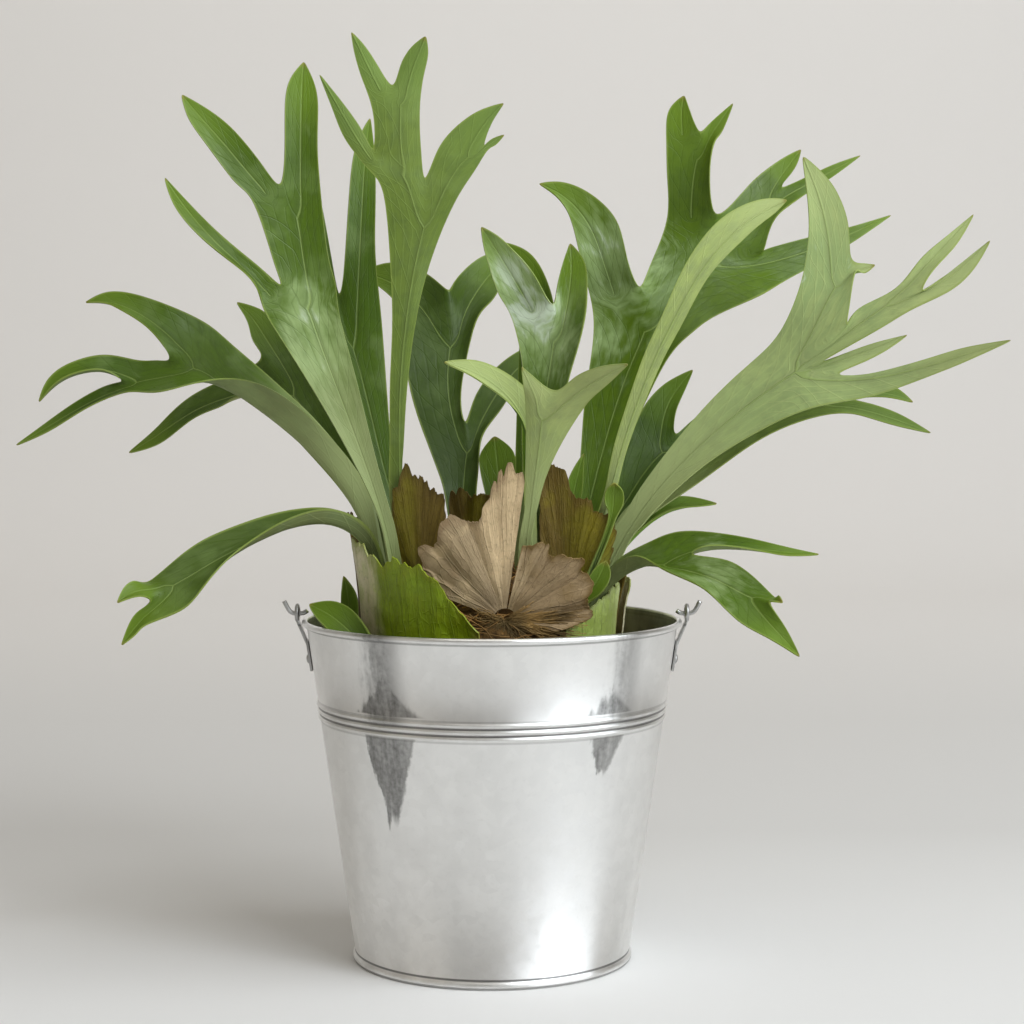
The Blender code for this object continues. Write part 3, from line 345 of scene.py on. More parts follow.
CENTRE_FRONDS = [
    Frond("frond_back_centre", (-14, 26), 5, SHADE, face=(0, -1, 0.25), cup=0.2, tone=0.6, pale=25,
          dim=0.4, blade=Lobe(
        [(-17, 33, 238, 8), (-18, 38, 252, 10), (-21, 46, 272, 14.5)],
        notches=[(-15, 50, 280)], lobes=[
            Lobe([(-32, 60, 300, 14), (-31, 74, 338, 21)], notches=[(-25, 78, 354)], lobes=[
                Lobe([(-46, 90, 357, 12), (-62, 104, 365, 8), (-76, 114, 366, 0)]),
                Lobe([(-11, 92, 355, 12.5), (1, 106, 371, 8.5), (11, 118, 376, 0)])]),
            Lobe([(-3, 70, 292, 8.5), (8, 86, 308, 7.6), (21, 99, 319, 5.4), (35, 110, 330, 0)])])),
    Frond("frond_centre_glossy", (28, -22), 4, GLOSS, face=(-0.2, -1, 0.15), cup=0.35, tone=0.2, blade=Lobe(
        [(22, -30, 240, 5), (22, -34, 262, 6.5), (25, -36, 287, 10), (28, -38, 309, 12),
         (29, -40, 336, 19)],
        cup=0.35, notches=[(31, -38, 342)], lobes=[
            Lobe([(13, -48, 352, 10.5), (5, -55, 366, 7.2), (0, -59, 374, 4.4), (-5, -62, 381, 0)]),
            Lobe([(41, -34, 352, 8), (42, -32, 365, 5.8), (40, -30, 375, 0)])])),
    Frond("frond_centre_behind", (16, -14), 4, SHADE, face=(-0.1, -1, 0.1), tone=0.9, blade=Lobe(
        [(16, -14, 236, 4.5), (17, -15, 258, 5), (21, -15, 294, 8), (24, -16, 330, 9.6),
         (21, -18, 351, 9.2), (14, -20, 367, 7), (5, -20, 376, 0)], cup=0.2)),
    Frond("frond_front_small", (16, -38), 3, UNDER, face=(0, -1, 0), cup=-0.15, tone=0.35, pale=90,
          blade=Lobe(
        [(17, -50, 225, 3), (20, -55, 239, 3), (22, -60, 256, 4.8), (26, -67, 275, 8.8),
         (31, -74, 294, 14.5)],
        face=(-0.1, -1, -0.1), cup=-0.2, notches=[(32, -76, 299)], lobes=[
            Lobe([(19, -79, 304, 3.6), (15, -82, 312, 0)]),
            Lobe([(46, -82, 302, 6.6), (56, -92, 308, 4.6), (67, -100, 313, 0)])])),
    Frond("frond_centre_tongue", (21, -29), 3, UNDER, face=(0.1, -1, 0.3), blade=Lobe(
        [(20, -37, 236, 3), (20, -42, 254, 3.4), (23, -46, 279, 4.6), (15, -50, 296, 5.8),
         (0, -56, 307, 5.6), (-12, -62, 312, 3.8), (-24, -66, 314, 0)], face=(-0.1, -0.9, 0.4), cup=0.3)),
]

RIGHT_FRONDS = [
    Frond("frond_right_broad", (42, -2), 4.5, UPPER, face=(-0.1, -1, 0.15), cup=0.2, tone=0.85, pale=25,
          dim=0.15, blade=Lobe(
        [(48, 0, 230, 6), (55, 4, 257, 9), (63, 10, 289, 15), (73, 14, 322, 20), (79, 18, 338, 28)],
        cup=0.2, notches=[(78, 16, 353)], lobes=[
            Lobe([(60, 10, 364, 11.8), (55, 6, 384, 12), (45, 2, 398, 7.4), (34, 0, 405, 3.8),
                  (24, -2, 407, 0)]),
            Lobe([(101, 27, 352, 22), (118, 32, 370, 32)],
                 notches=[(119, 32, 392), (147, 42, 375)], lobes=[
                Lobe([(104, 26, 413, 11), (105, 24, 432, 12.6)], notches=[(110, 24, 436)], lobes=[
                    Lobe([(99, 24, 448, 5.8), (102, 24, 456, 0)]),
                    Lobe([(119, 26, 439, 4.2), (129, 28, 453, 0)])]),
                Lobe([(142, 45, 397, 11.5), (152, 52, 407, 12)], notches=[(156, 55, 409)], lobes=[
                    Lobe([(162, 58, 423, 4.6), (169, 60, 431, 0)]),
                    Lobe([(173, 64, 412, 4), (189, 68, 421, 2.8), (204, 72, 429, 0)])]),
                Lobe([(153, 50, 367, 10.4), (176, 61, 376, 7.6), (198, 69, 385, 4.2),
                      (223, 78, 397, 0)])])])),
    Frond("frond_right_strap", (46, -23), 3, UNDER, face=(0.15, -1, 0), cup=-0.25, tone=0.4, pale=70,
          blade=Lobe(
        [(55, -27, 226, 2.8), (61, -31, 248, 2.8), (65, -36, 269, 3.4), (74, -41, 296, 4.2),
         (82, -44, 317, 5), (91, -46, 335, 5.6), (103, -46, 360, 6.6), (118, -44, 378, 8),
         (131, -41, 388, 6.4), (142, -38, 393, 4), (150, -36, 396, 0)], cup=-0.3)),
    Frond("frond_right_great", (52, -9), 4.5, UNDER, face=(-0.1, -0.9, 0.5), cup=0.2, tone=0.2, pale=120,
          blade=Lobe(
        [(66, -15, 222, 5), (73, -18, 232, 5.6), (81, -21, 244, 7), (98, -26, 264, 9.4),
         (117, -30, 282, 13), (135, -34, 296, 16.5), (155, -39, 309, 21)],
        face=(-0.1, -0.9, 0.35), cup=0.2,
        notches=[(179, -46, 332), (165, -41, 313), (174, -44, 308)], lobes=[
            Lobe([(168, -41, 346, 13.4), (171, -42, 363, 12.6)], notches=[(181, -42, 366)], lobes=[
                Lobe([(170, -43, 383, 10), (165, -43, 402, 6.8), (156, -44, 418, 0)]),
                Lobe([(188, -42, 361, 3), (194, -42, 363, 0)])]),
            Lobe([(188, -47, 335, 7.8), (206, -51, 345, 6.4)], notches=[(215, -53, 349)], lobes=[
                Lobe([(218, -51, 363, 4.4), (231, -49, 375, 3.4), (243, -46, 389, 0)]),
                Lobe([(228, -55, 353, 4.2), (240, -56, 364, 3), (249, -57, 375, 0)])]),
            Lobe([(188, -42, 318, 4), (200, -42, 323, 2.6), (211, -41, 328, 0)]),
            Lobe([(190, -50, 302, 6), (217, -60, 311, 4.6), (235, -70, 318, 3.6), (256, -80, 325, 0)])])),
    Frond("frond_right_under", (53, 4), 4, FELT, face=(-0.1, -0.9, 0.4), pale=100, blade=Lobe(
        [(68, 4, 226, 5), (81, 2, 239, 6), (104, 0, 257, 8), (135, -1, 280, 8.4), (164, -2, 292, 8),
         (184, -4, 295, 8)],
        notches=[(188, -4, 295)], lobes=[
            Lobe([(201, -5, 300, 4), (211, -7, 298, 3), (220, -8, 293, 0)]),
            Lobe([(197, -7, 289, 4), (212, -11, 284, 3.4), (229, -14, 277, 0)])])),
    Frond("frond_right_back", (46, 13), 4.5, SHADE, face=(-0.1, -1, 0.2), cup=0.2, tone=0.55, blade=Lobe(
        [(62, 15, 228, 6), (74, 18, 246, 9), (82, 23, 261, 13), (90, 28, 273, 16)],
        cup=0.2, notches=[(98, 30, 275)], lobes=[
            Lobe([(91, 32, 291, 8), (99, 36, 301, 5.4), (109, 38, 311, 0)]),
            Lobe([(112, 34, 278, 7), (129, 40, 291, 5), (142, 46, 302, 0)])])),
    Frond("frond_right_leaflet", (50, 21), 3, YOUNG, face=(0, -0.6, 0.8), pale=14, blade=Lobe(
        [(64, 24, 214, 4), (83, 28, 233, 5), (97, 30, 239, 5), (110, 32, 239, 4), (122, 34, 238, 0)],
        cup=0.3)),
    Frond("frond_right_drooping", (50, -17), 3.6, UPPER, face=(0, -0.3, 1), cup=0.3, tone=0.35, blade=Lobe(
        [(61, -26, 208, 4), (77, -40, 217, 8), (90, -50, 219, 13)],
        face=(0, -0.75, 0.65), cup=0.3, fold=(0.4, 0.5, 0), notches=[(100, -57, 217)], lobes=[
            Lobe([(110, -58, 224, 6.4), (130, -62, 222, 5), (147, -63, 219, 3.6), (165, -62, 218, 0)],
                 fold=(0.5, 0.5, 0.3, 0)),
            Lobe([(111, -74, 210, 10.5), (122, -88, 201, 11.5), (130, -98, 193, 11)],
                 face=(0, -0.85, 0.5), notches=[(135, -101, 197)], lobes=[
                Lobe([(138, -102, 200, 2.4), (141, -104, 198, 0)]),
                Lobe([(138, -110, 184, 5), (148, -120, 173, 0)])])])),
]

YOUNG_FRONDS = [
    Frond("young_curled_upper", (45, -37), 1.8, SHADOWED, face=(0, -1, 0.3), cup=0.3, pale=8, blade=Lobe(
        [(46, -39.5, 194, 1.6), (51, -40, 208, 1.5), (58, -40, 224, 1.5), (62, -39, 236, 1.8),
         (62.5, -39, 241, 4.4), (62.5, -39, 246, 5), (62.5, -40, 250, 3.6), (62.5, -41, 253, 0)], cup=0.8)),
    Frond("young_curled_lower", (37, -43), 2, SHADOWED, face=(0.1, -1, 0.3), cup=0.4, pale=6, blade=Lobe(
        [(43, -45.5, 191, 2.4), (50, -47.5, 198, 4.4), (55, -48.5, 205, 5), (57, -48.5, 210, 3.6),
         (58, -48, 214, 0)], cup=0.5)),
    Frond("young_pointed", (36, -20), 2.4, YOUNG, pale=10, blade=Lobe(
        [(37, -19, 225, 3), (42, -19, 244, 4.4), (44, -18, 256, 3.4), (48, -17, 268, 0)], cup=0.3)),
    Frond("young_round_back", (6, 30), 3, SHADOWED, face=(0, -1, 0.3), pale=8, blade=Lobe(
        [(5, 32, 225, 5), (4, 34, 244, 8), (3, 36, 258, 10), (2, 37, 267, 8.6), (1, 37, 275, 0)], cup=0.3)),
    Frond("leaf_over_rim", (-58, -53), 3, SHADOWED, face=(0, -0.8, 0.7), cup=0.2, in_mix=True, tone=0.9,
          pale=4, wavy=3.0, blade=Lobe(
        [(-61, -54, 168, 3.8), (-68, -52, 176, 7), (-77, -45, 184, 8.5), (-86, -38, 189, 6),
         (-94, -32, 190, 0)], cup=0.25)),
    Frond("leaf_left_small", (-74, -10), 2.6, SHADOWED, face=(0, -1, 0.2), in_mix=True, pale=6, blade=Lobe(
        [(-74, -13, 176, 4), (-74, -16, 190, 4.6), (-75, -18, 197, 3), (-77, -19, 204, 0)], cup=0.3)),
]

# Sheets wrapped round the root ball: start and end angle from the front, layer, flare at the top,
# the top edge's heights from start to end, and the finish
WRAPS = {
    "shield_front_left": (-70, -3, 4, 6, (223, 226, 222, 218, 214, 218, 215, 214, 208, 199, 190, 180),
                          "mossy"),
    "shield_front_right": (36, 92, 1.5, 2, (181, 186, 190, 193, 197, 200, 199, 201, 196), "leafy"),
    "shield_left_stub": (-122, -77, 2, 7, (214, 228, 236, 233, 238, 234), "brown"),
    "shield_right_side": (97, 124, 2.5, 7, (207, 210, 206, 211, 208, 202), "olive"),
    "shield_back_left": (-172, -112, 7, 5, (204, 214, 219, 216, 223, 226, 220, 216, 208), "mossy"),
    "shield_back": (128, 196, 3.5, 4, (206, 221, 228, 232, 229, 235, 231, 236, 226, 210), "dry"),
    "shield_back_right": (104, 152, 8.5, 5, (196, 206, 214, 211, 218, 215, 205, 196), "mossy"),
}

# Sheets that spread from a hub: hub (x, z), hub depth or None to stand just off the root ball's front,
# forward lean, the radii of the bend to left and right, the outline as (angle, reach) pairs, and the finish
FANS = {
    "shield_fan_left": ((7, 184), None, 0.1, 200, 34, (
        (160, 42), (142, 57), (130, 54), (120, 62), (114, 60), (107, 55), (100, 60), (95, 71),
        (91, 79), (86, 80), (82, 74)), "papery"),
    "shield_fan_right": ((7, 184), None, 0.3, 200, 200, (
        (77, 39), (66, 44), (61, 46), (56, 42), (48, 47), (40, 51), (34, 49), (24, 50), (12, 45),
        (4, 47), (-6, 34), (-24, 17)), "dry"),
    "shield_left_brown": ((-37, 193), -27, 0.02, 260, 260, (
        (126, 24), (110, 44), (102, 62), (96, 70), (92, 66), (88, 64), (84, 59), (80, 57), (75, 53),
        (68, 38), (56, 25)), "brown"),
    "shield_right_olive": ((38, 185), -34.5, 0.02, 240, 240, (
        (112, 30), (106, 50), (101, 70), (96, 79), (91, 76), (86, 64), (80, 65), (74, 58), (66, 59),
        (60, 52), (54, 43), (48, 34)), "olive"),
    "shield_middle": ((-12, 204.2), 4, 0.02, 260, 260, (
        (112, 30), (103, 43), (94, 45), (88, 41), (82, 43), (75, 43), (64, 29)), "olive"),
}

# Where a blade is given painted sheen, and where it is strong painted highlights: x, z, radius in mm, and
# strength
SHEEN_SPOTS = {
    "frond_right_broad": ((58, 368, 46, 0.82), (56, 332, 30, 0.65)),
    "frond_centre_glossy": ((17, 336, 26, 1.4), (8, 360, 20, 1.3), (29, 318, 16, 1.0)),
    "frond_right_drooping": ((113, 206, 22, 0.6),),
    "frond_left_tall": ((-96, 341, 15, 1.4), (-86, 320, 26, 1.0)),
    "frond_right_great": ((168, 370, 44, 0.8),),
}


class FernSizes(bpy.types.PropertyGroup):
    """Sizes that a user would change."""

    blade: FloatProperty(name="Blade thickness", description="Thickness of the fronds' blades",
                         default=0.0008, unit="LENGTH")
    stalk: FloatProperty(name="Stalk thickness", description="Thickness of a stalk where it is rooted",
                         default=0.003, unit="LENGTH")
    shield: FloatProperty(name="Shield thickness", description="Thickness of the shield fronds",
                          default=0.0008, unit="LENGTH")
    rim: FloatProperty(name="Rim radius", description="Outer radius of the pail's rolled rim",
                       default=RIM_RADIUS, unit="LENGTH")
    crumbs: IntProperty(name="Crumbs", description="Number of crumbs on the potting mix", default=420)
    hairs: IntProperty(name="Hub fibres", description="Number of fine fibres at the fans' hub", default=260)
    fibres: IntProperty(name="Fibres", description="Number of root fibres on the root ball", default=300)


class FernColours(bpy.types.PropertyGroup):
    """Base colours of the fern and the pail."""

    upper: FloatVectorProperty(name="Upper side", description="A grown frond's upper side",
                               default=(0.086, 0.160, 0.012), subtype="COLOR")
    # painted shade: a darker copy of the upper side, for the fronds that stand in the plant's shade
    shade: FloatVectorProperty(name="Dark frond", description="The fronds further back",
                               default=(0.060, 0.116, 0.011), subtype="COLOR")
    under: FloatVectorProperty(name="Underside", description="The pale, felted side of a frond",
                               default=(0.35, 0.43, 0.18), subtype="COLOR")
    felt: FloatVectorProperty(name="Green underside", description="An underside whose felt has worn thin",
                              default=(0.145, 0.215, 0.052), subtype="COLOR")
    young: FloatVectorProperty(name="Young frond", description="Fresh growth",
                               default=(0.11, 0.21, 0.02), subtype="COLOR")
    rib: FloatVectorProperty(name="Midrib", description="The line up the middle of a blade",
                             default=(0.25, 0.34, 0.09), subtype="COLOR")
    stalk: FloatVectorProperty(name="Stalk", description="The pale foot of a frond",
                               default=(0.38, 0.45, 0.19), subtype="COLOR")
    paper: FloatVectorProperty(name="Dry shield", description="An old shield gone papery",
                               default=(0.67, 0.505, 0.29), subtype="COLOR")
    brown: FloatVectorProperty(name="Brown shield", description="The oldest shields",
                               default=(0.125, 0.085, 0.012), subtype="COLOR")
    moss: FloatVectorProperty(name="Green shield", description="A living shield",
                              default=(0.22, 0.325, 0.004), subtype="COLOR")
    olive: FloatVectorProperty(name="Turning shield", description="A shield between green and brown",
                               default=(0.145, 0.12, 0.003), subtype="COLOR")
    zinc: FloatVectorProperty(name="Zinc", description="The pail's galvanised sheet",
                              default=(1.0, 1.0, 0.99), subtype="COLOR")
    soil: FloatVectorProperty(name="Potting mix", description="Dark, damp potting mix",
                              default=(0.035, 0.022, 0.014), subtype="COLOR")
    root: FloatVectorProperty(name="Roots", description="The fibrous root ball",
                              default=(0.23, 0.13, 0.04), subtype="COLOR")


class Socket:
    """A node's output, which adds Math nodes when it stands in an expression."""

    def __init__(self, paint, output):
        self.paint = paint
        self.output = output

    def join(self, operation, *values):
        """A Math node on the values in their order."""
        return self.paint.node("ShaderNodeMath", {"operation": operation}, dict(enumerate(values)))

    def math(self, operation, *others):
        """A Math node on this socket and the others."""
        return self.join(operation, self, *others)

    def __add__(self, other):
        return self.join("ADD", self, other)

    def __radd__(self, other):
        return self.join("ADD", other, self)

    def __sub__(self, other):
        return self.join("SUBTRACT", self, other)

    def __rsub__(self, other):
        return self.join("SUBTRACT", other, self)

    def __mul__(self, other):
        return self.join("MULTIPLY", self, other)

    def __rmul__(self, other):
        return self.join("MULTIPLY", other, self)

    def __truediv__(self, other):
        return self.join("DIVIDE", self, other)

    def __rtruediv__(self, other):
        return self.join("DIVIDE", other, self)


class Paint:
    """A material being made: constants go on its shader, and patterns are built with nodes."""

    def __init__(self, name, constants):
        self.material = bpy.data.materials.new(name)
        self.material.use_nodes = True
        self.tree = self.material.node_tree
        self.shader = self.tree.nodes["Principled BSDF"]
        for socket, value in constants.items():
            self.shader.inputs[socket].default_value = value

    def node(self, kind, settings, values, output=0):
        """Adds a node, sets its settings first and then its sockets, and gives one of its outputs."""
        node = self.tree.nodes.new(kind)
        for key, value in settings.items():
            if key == "stops":
                fill_ramp(node.color_ramp, value)
            else:
                setattr(node, key, value)
        for key, value in values.items():
            self.put(node.inputs[key], value)
        return Socket(self, node.outputs[output])

    def put(self, socket, value):
        """Links a socket, or sets it to a constant."""
        if isinstance(value, Socket):
            self.tree.links.new(value.output, socket)
        else:
            socket.default_value = value

    def feed(self, name, value):
        """Puts a value on one of the shader's sockets."""
        self.put(self.shader.inputs[name], value)

    def spot(self):
        """The point on the object, in metres."""
        return self.node("ShaderNodeTexCoord", {}, {}, "Object")

    def axis(self, letter):
        """The point's place along one axis, in metres."""
        return self.node("ShaderNodeSeparateXYZ", {}, {"Vector": self.spot()}, letter)

    def place(self, stretch=(1, 1, 1)):
        """The point with its axes stretched, for a pattern."""
        return self.node("ShaderNodeMapping", {}, {"Vector": self.spot(), "Scale": stretch})

    def read(self, name):
        """A value that the mesh holds at each of its points."""
        return self.node("ShaderNodeAttribute", {"attribute_name": name}, {}, "Fac")

    def noise(self, scale, detail=3.0, place=None):
        """Soft clouds, 0 to 1."""
        return self.node("ShaderNodeTexNoise", {},
                         {"Vector": place or self.place(), "Scale": scale, "Detail": detail})

    def cells(self, scale, feature="F1", output="Distance", place=None):
        """Cells that lie side by side."""
        return self.node("ShaderNodeTexVoronoi", {"feature": feature},
                         {"Vector": place or self.place(), "Scale": scale}, output)

    def rise(self, value, start, end):
        """0 at start, 1 at end, and smooth between, whichever of the two is larger."""
        return self.node("ShaderNodeMapRange", {"interpolation_type": "SMOOTHSTEP"},
                         {"Value": value, "From Min": start, "From Max": end})

    def lines(self, phase, width):
        """Thin lines, 1 on the line, wherever the phase passes a whole number and a half."""
        apart = (phase.math("FRACT") - 0.5) * 2
        return self.rise(apart.math("ABSOLUTE"), width, 0.0)

    def mix(self, share, first, second):
        """The first colour with a share of the second over it."""
        return self.node("ShaderNodeMix", {"data_type": "RGBA"},
                         {0: share, 6: full(first), 7: full(second)}, 2)

    def coats(self, skin, *coats):
        """Colours laid over a first one in turn, each given as its share and itself."""
        for share, colour in coats:
            skin = self.mix(share, skin, colour)
        return skin

    def ramp(self, share, stops):
        """The colours of the stops, read at a share."""
        return self.node("ShaderNodeValToRGB", {"stops": stops}, {"Fac": share})

    def bump(self, height, strength, distance):
        """Small relief, as deep as the distance in metres."""
        relief = self.node("ShaderNodeBump", {},
                           {"Height": height, "Strength": strength, "Distance": distance})
        self.feed("Normal", relief)


def full(colour):
    """A colour with its alpha, or a socket as it is."""
    return colour if isinstance(colour, Socket) else (*colour[:3], 1.0)


def fill_ramp(ramp, stops):
    """Gives a colour ramp its stops of place and colour."""
    while len(ramp.elements) < len(stops):
        ramp.elements.new(0.5)
    for element, (place, colour) in zip(ramp.elements, stops):
        element.position = place
        element.color = full(colour)


def tinted(colour, factor, warm=1.0):
    """A colour made lighter or darker, and warmer or cooler."""
    return (colour[0] * factor * warm, colour[1] * factor, colour[2] * factor / warm)


def leaf_paint(name, colour, rib, stalk, roughness, felt, coat):
    """One side of a blade, its pattern read from the distances to the midrib, margin, foot and tip."""
    gloss = 0.2 if felt else 0.27
    paint = Paint(name, {"Coat Roughness": 0.2, "Specular IOR Level": gloss, "Coat Weight": coat})
    from_rib = paint.read("from_rib")
    from_margin = paint.read("from_margin")
    along = paint.read("along")
    to_tip = paint.read("to_tip")
    tone = paint.read("tone")
    bloom = paint.read("bloom")
    share = from_rib / (from_rib + from_margin + 0.01)
    lengthwise = paint.node("ShaderNodeCombineXYZ", {}, {0: along * 0.07, 1: from_rib * 0.3, 2: 0.0})
    flow = paint.node("ShaderNodeVectorMath", {"operation": "ADD"},
                      {0: lengthwise, 1: paint.place((26, 26, 26))})
    streak = paint.noise(1.0, 5.0, flow)
    broad = paint.noise(11.0, 2.0)
    patch = paint.noise(48.0, 5.0)
    mottle = paint.noise(170.0, 4.0)
    fine = paint.noise(1000.0, 2.0)
    side_veins = paint.lines(along / 15.0 - from_rib / 6.0 + broad * 1.2, 0.12)
    hair_veins = paint.lines(share * 4.0 + streak * 0.5, 0.3)
    midrib = paint.rise(from_rib, 0.6, 0.15)
    flank = paint.rise(from_rib, 3.4, 0.5) * (1 - midrib)
    vein = tinted(colour, 1.45, 1.06) if felt else tinted(colour, 0.6)
    haze = paint.rise(patch + (broad - 0.5) * 0.5, 0.5, 0.72) * (1.0 - tone) * 0.34
    # painted sheen, and where it is strong painted highlights, from the frond's sheen spots
    sheen_mask = bloom + (streak - 0.5) * 1.3 + (patch - 0.5) * 0.7 + (mottle - 0.5) * 0.5
    highlight_mask = bloom + (streak - 0.5) * 1.6 + (patch - 0.5) * 1.4
    paint.feed("Base Color", paint.coats(
        tinted(colour, 1.0, 0.9),
        (tone, (colour[0] * 1.06, colour[1], colour[2] * 0.08)),
        (paint.rise(broad, 0.35, 0.65) * 0.45, tinted(colour, 1.3, 1.08)),
        (paint.rise(streak, 0.42, 0.64) * 0.3, tinted(colour, 0.62, 0.96)),
        (paint.rise(mottle, 0.5, 0.66) * 0.3, tinted(colour, 0.66, 0.98)),
        # painted shade: the whole frond darkened as far as its attribute says
        (paint.read("dim"), tinted(colour, 0.35, 1.02)),
        # whitish bloom in random patches together with painted sheen, then painted highlights
        (haze.math("MAXIMUM", paint.rise(sheen_mask, 0.1, 1.0) * 0.85), BLOOM_AND_SHEEN),
        (paint.rise(highlight_mask, 0.9, 1.4) * 0.85, PAINTED_HIGHLIGHT),
        (side_veins * 0.25 + hair_veins * 0.18, vein),
        (flank * 0.35, tinted(colour, 0.62)),
        (midrib * 0.5, rib),
        (paint.rise(to_tip, 65.0 if felt else 50.0, 4.0) * 0.6,
         [max(pair) for pair in zip(tinted(colour, 1.25, 1.04), TIP)]),
        (paint.rise(from_margin, 0.7, 0.15) * 0.55, MARGIN),
        (paint.rise(to_tip, 3.5, 0.5) * 0.5, DRY_TIP),
        (paint.rise(paint.read("pale") + (streak - 0.5) * 0.5, 0.0, 1.0) * 0.85, stalk)))
    paint.feed("Roughness", roughness + (streak - 0.5) * 0.4 + (patch - 0.5) * 0.5)
    raised = 1.0 if felt else -0.8
    veins = midrib * raised + side_veins * (0.3 * raised) + hair_veins * (0.2 * raised)
    paint.bump(veins + streak * 0.4 + patch * 0.8 + mottle * 0.4 + fine * 0.06, 0.6, 0.0006)
    return paint.material


def shield_paint(name, stops, edge, vein, roughness, count, gloss=0.3):
    """A shield's face: colours across it, a count of veins that fan up it, a worn top edge and blotches."""
    paint = Paint(name, {"Specular IOR Level": gloss})
    across = paint.read("across")
    up = paint.read("up")
    broad = paint.noise(30.0, 3.0)
    cloud = paint.noise(85.0, 6.0)
    grain = paint.noise(650.0, 4.0)
    sheet = paint.node("ShaderNodeCombineXYZ", {}, {0: across * 24.0 + broad, 1: up * 7.0 + cloud, 2: 0.0})
    net = paint.rise(paint.cells(1.0, "DISTANCE_TO_EDGE", place=sheet), 0.07, 0.01)
    main_veins = paint.lines(across * count + (broad - 0.5) * 1.2, 0.1)
    small_veins = paint.lines(across * count * 2.6 + (cloud - 0.5) * 1.6, 0.3) * paint.rise(up, 0.2, 0.6)
    worn = up + (cloud - 0.5) * 0.3
    paint.feed("Base Color", paint.coats(
        paint.ramp(across + (broad - 0.5) * 0.3, stops),
        (paint.rise(cloud, 0.48, 0.75) * 0.45, tinted(edge, 1.25)),
        (paint.rise(cloud, 0.5, 0.28) * 0.35, tinted(vein, 1.2)),
        (main_veins * 0.2 + small_veins * 0.07, vein),
        (net * 0.1, tinted(edge, 0.8)),
        (paint.rise(worn, 0.84, 1.02) * 0.8, edge),
        (paint.rise(worn, 0.34, 0.02) * 0.5, tinted(edge, 0.6)),
        (paint.rise(grain, 0.52, 0.75) * 0.3, tinted(edge, 0.6))))
    paint.feed("Roughness", roughness + (cloud - 0.5) * 0.25)
    paint.bump(main_veins * 0.6 + small_veins * 0.2 + net * 0.15 + cloud * 1.8 + grain * 0.1, 0.8, 0.0009)
    return paint.material


def painted_reflection(paint, angle, z, tall_noise, fleck):
    """How much painted reflection of the fronds darkens the zinc at a point: ragged spikes that start at
    the beads.
    """
    ragged = (tall_noise - 0.5) * 0.1 + (fleck - 0.5) * 0.04
    reflection_mask = 0.0
    for middle, half, tip, base, strength, soft, shape in REFLECTION_RUNS:
        beside = (angle - middle + ragged).math("ABSOLUTE")
        share = ((z - tip) / (base - tip) + (tall_noise - 0.5) * 0.4).math("MAXIMUM", 0.0)
        run = paint.rise(beside - share.math("POWER", shape) * half, 0.3 * soft, -soft)
        run = run * paint.rise(z, base + (base - tip) * 0.04, base)
        reflection_mask = reflection_mask + run * paint.rise(share, 0.0, 0.25) * strength
    return reflection_mask.math("MINIMUM", 1.0)


def zinc_paint(name, colour):
    """Hot-dipped zinc: soft spangles, upright streaks, painted reflections of the fronds as dark runs from
    the beads, painted shade in the grooves, a paler foot as painted light, and grime at the foot.
    """
    paint = Paint(name, {"Metallic": 1.0, "Anisotropic": 0.75, "Anisotropic Rotation": 0.25})
    flake = paint.node("ShaderNodeSeparateColor", {}, {"Color": paint.cells(190.0, output="Color")})
    cloud = paint.noise(60.0, 5.0)
    fleck = paint.noise(420.0, 4.0)
    streak = paint.noise(70.0, 4.0, paint.place((1.0, 1.0, 0.12)))
    tall_noise = paint.noise(260.0, 4.0, paint.place((1.0, 1.0, 0.16)))
    x, y, z = (paint.axis(letter) for letter in "XYZ")
    # painted reflections of the fronds: dark spikes under and over the beads
    reflection_mask = painted_reflection(paint, x.math("ARCTAN2", 0 - y), z, tall_noise, fleck)
    # painted shade along the grooves of the beads, the rim and the foot ring
    groove_shade = 0.0
    for level, strength in SHADED_GROOVES:
        groove_shade = groove_shade + paint.rise((z - level).math("ABSOLUTE"), 0.0008, 0.0003) * strength
    reach = (x * x + y * y).math("SQRT")
    inner = paint.rise(reach - z * WALL_SLOPE, *INSIDE)
    beads = paint.rise(z, *BEADS_START) * paint.rise(z, *BEADS_END)
    grime = beads * 0.15 + paint.rise(z, GRIMY_FOOT, 0.0) * 0.2
    mirrored = paint.mix(paint.rise(cloud + (streak - 0.5) * 0.6, 0.35, 0.65), *MIRRORED)
    paint.feed("Base Color", paint.coats(
        colour,
        # painted light: the wall is kept paler below eight centimetres, lifting the shade that it mirrors
        # near the foot
        (paint.rise(z, 0.02, 0.08), tinted(colour, 0.93)),
        (paint.rise(cloud, 0.35, 0.7) * 0.35, tinted(colour, 0.8)),
        (paint.rise(streak, 0.45, 0.7) * 0.25, tinted(colour, 0.8)),
        (flake * 0.3, tinted(colour, 0.8)),
        (paint.rise(fleck, 0.55, 0.7) * 0.12, tinted(colour, 0.7)),
        (groove_shade * 0.85, tinted(colour, 0.1)),
        (grime * paint.rise(cloud, 0.35, 0.6), tinted(colour, 0.5, 1.06)),
        (reflection_mask * (0.15 + tall_noise * 0.7 + fleck * 0.45), tinted(colour, 0.12, 1.02)),
        (inner * 0.85, mirrored)))
    paint.feed("Roughness", 0.28 + cloud * 0.08 + flake * 0.05 + grime * 0.2)
    paint.bump(cloud * 0.5 + streak * 0.3 + fleck * 0.1, 0.12, 0.0006)
    return paint.material


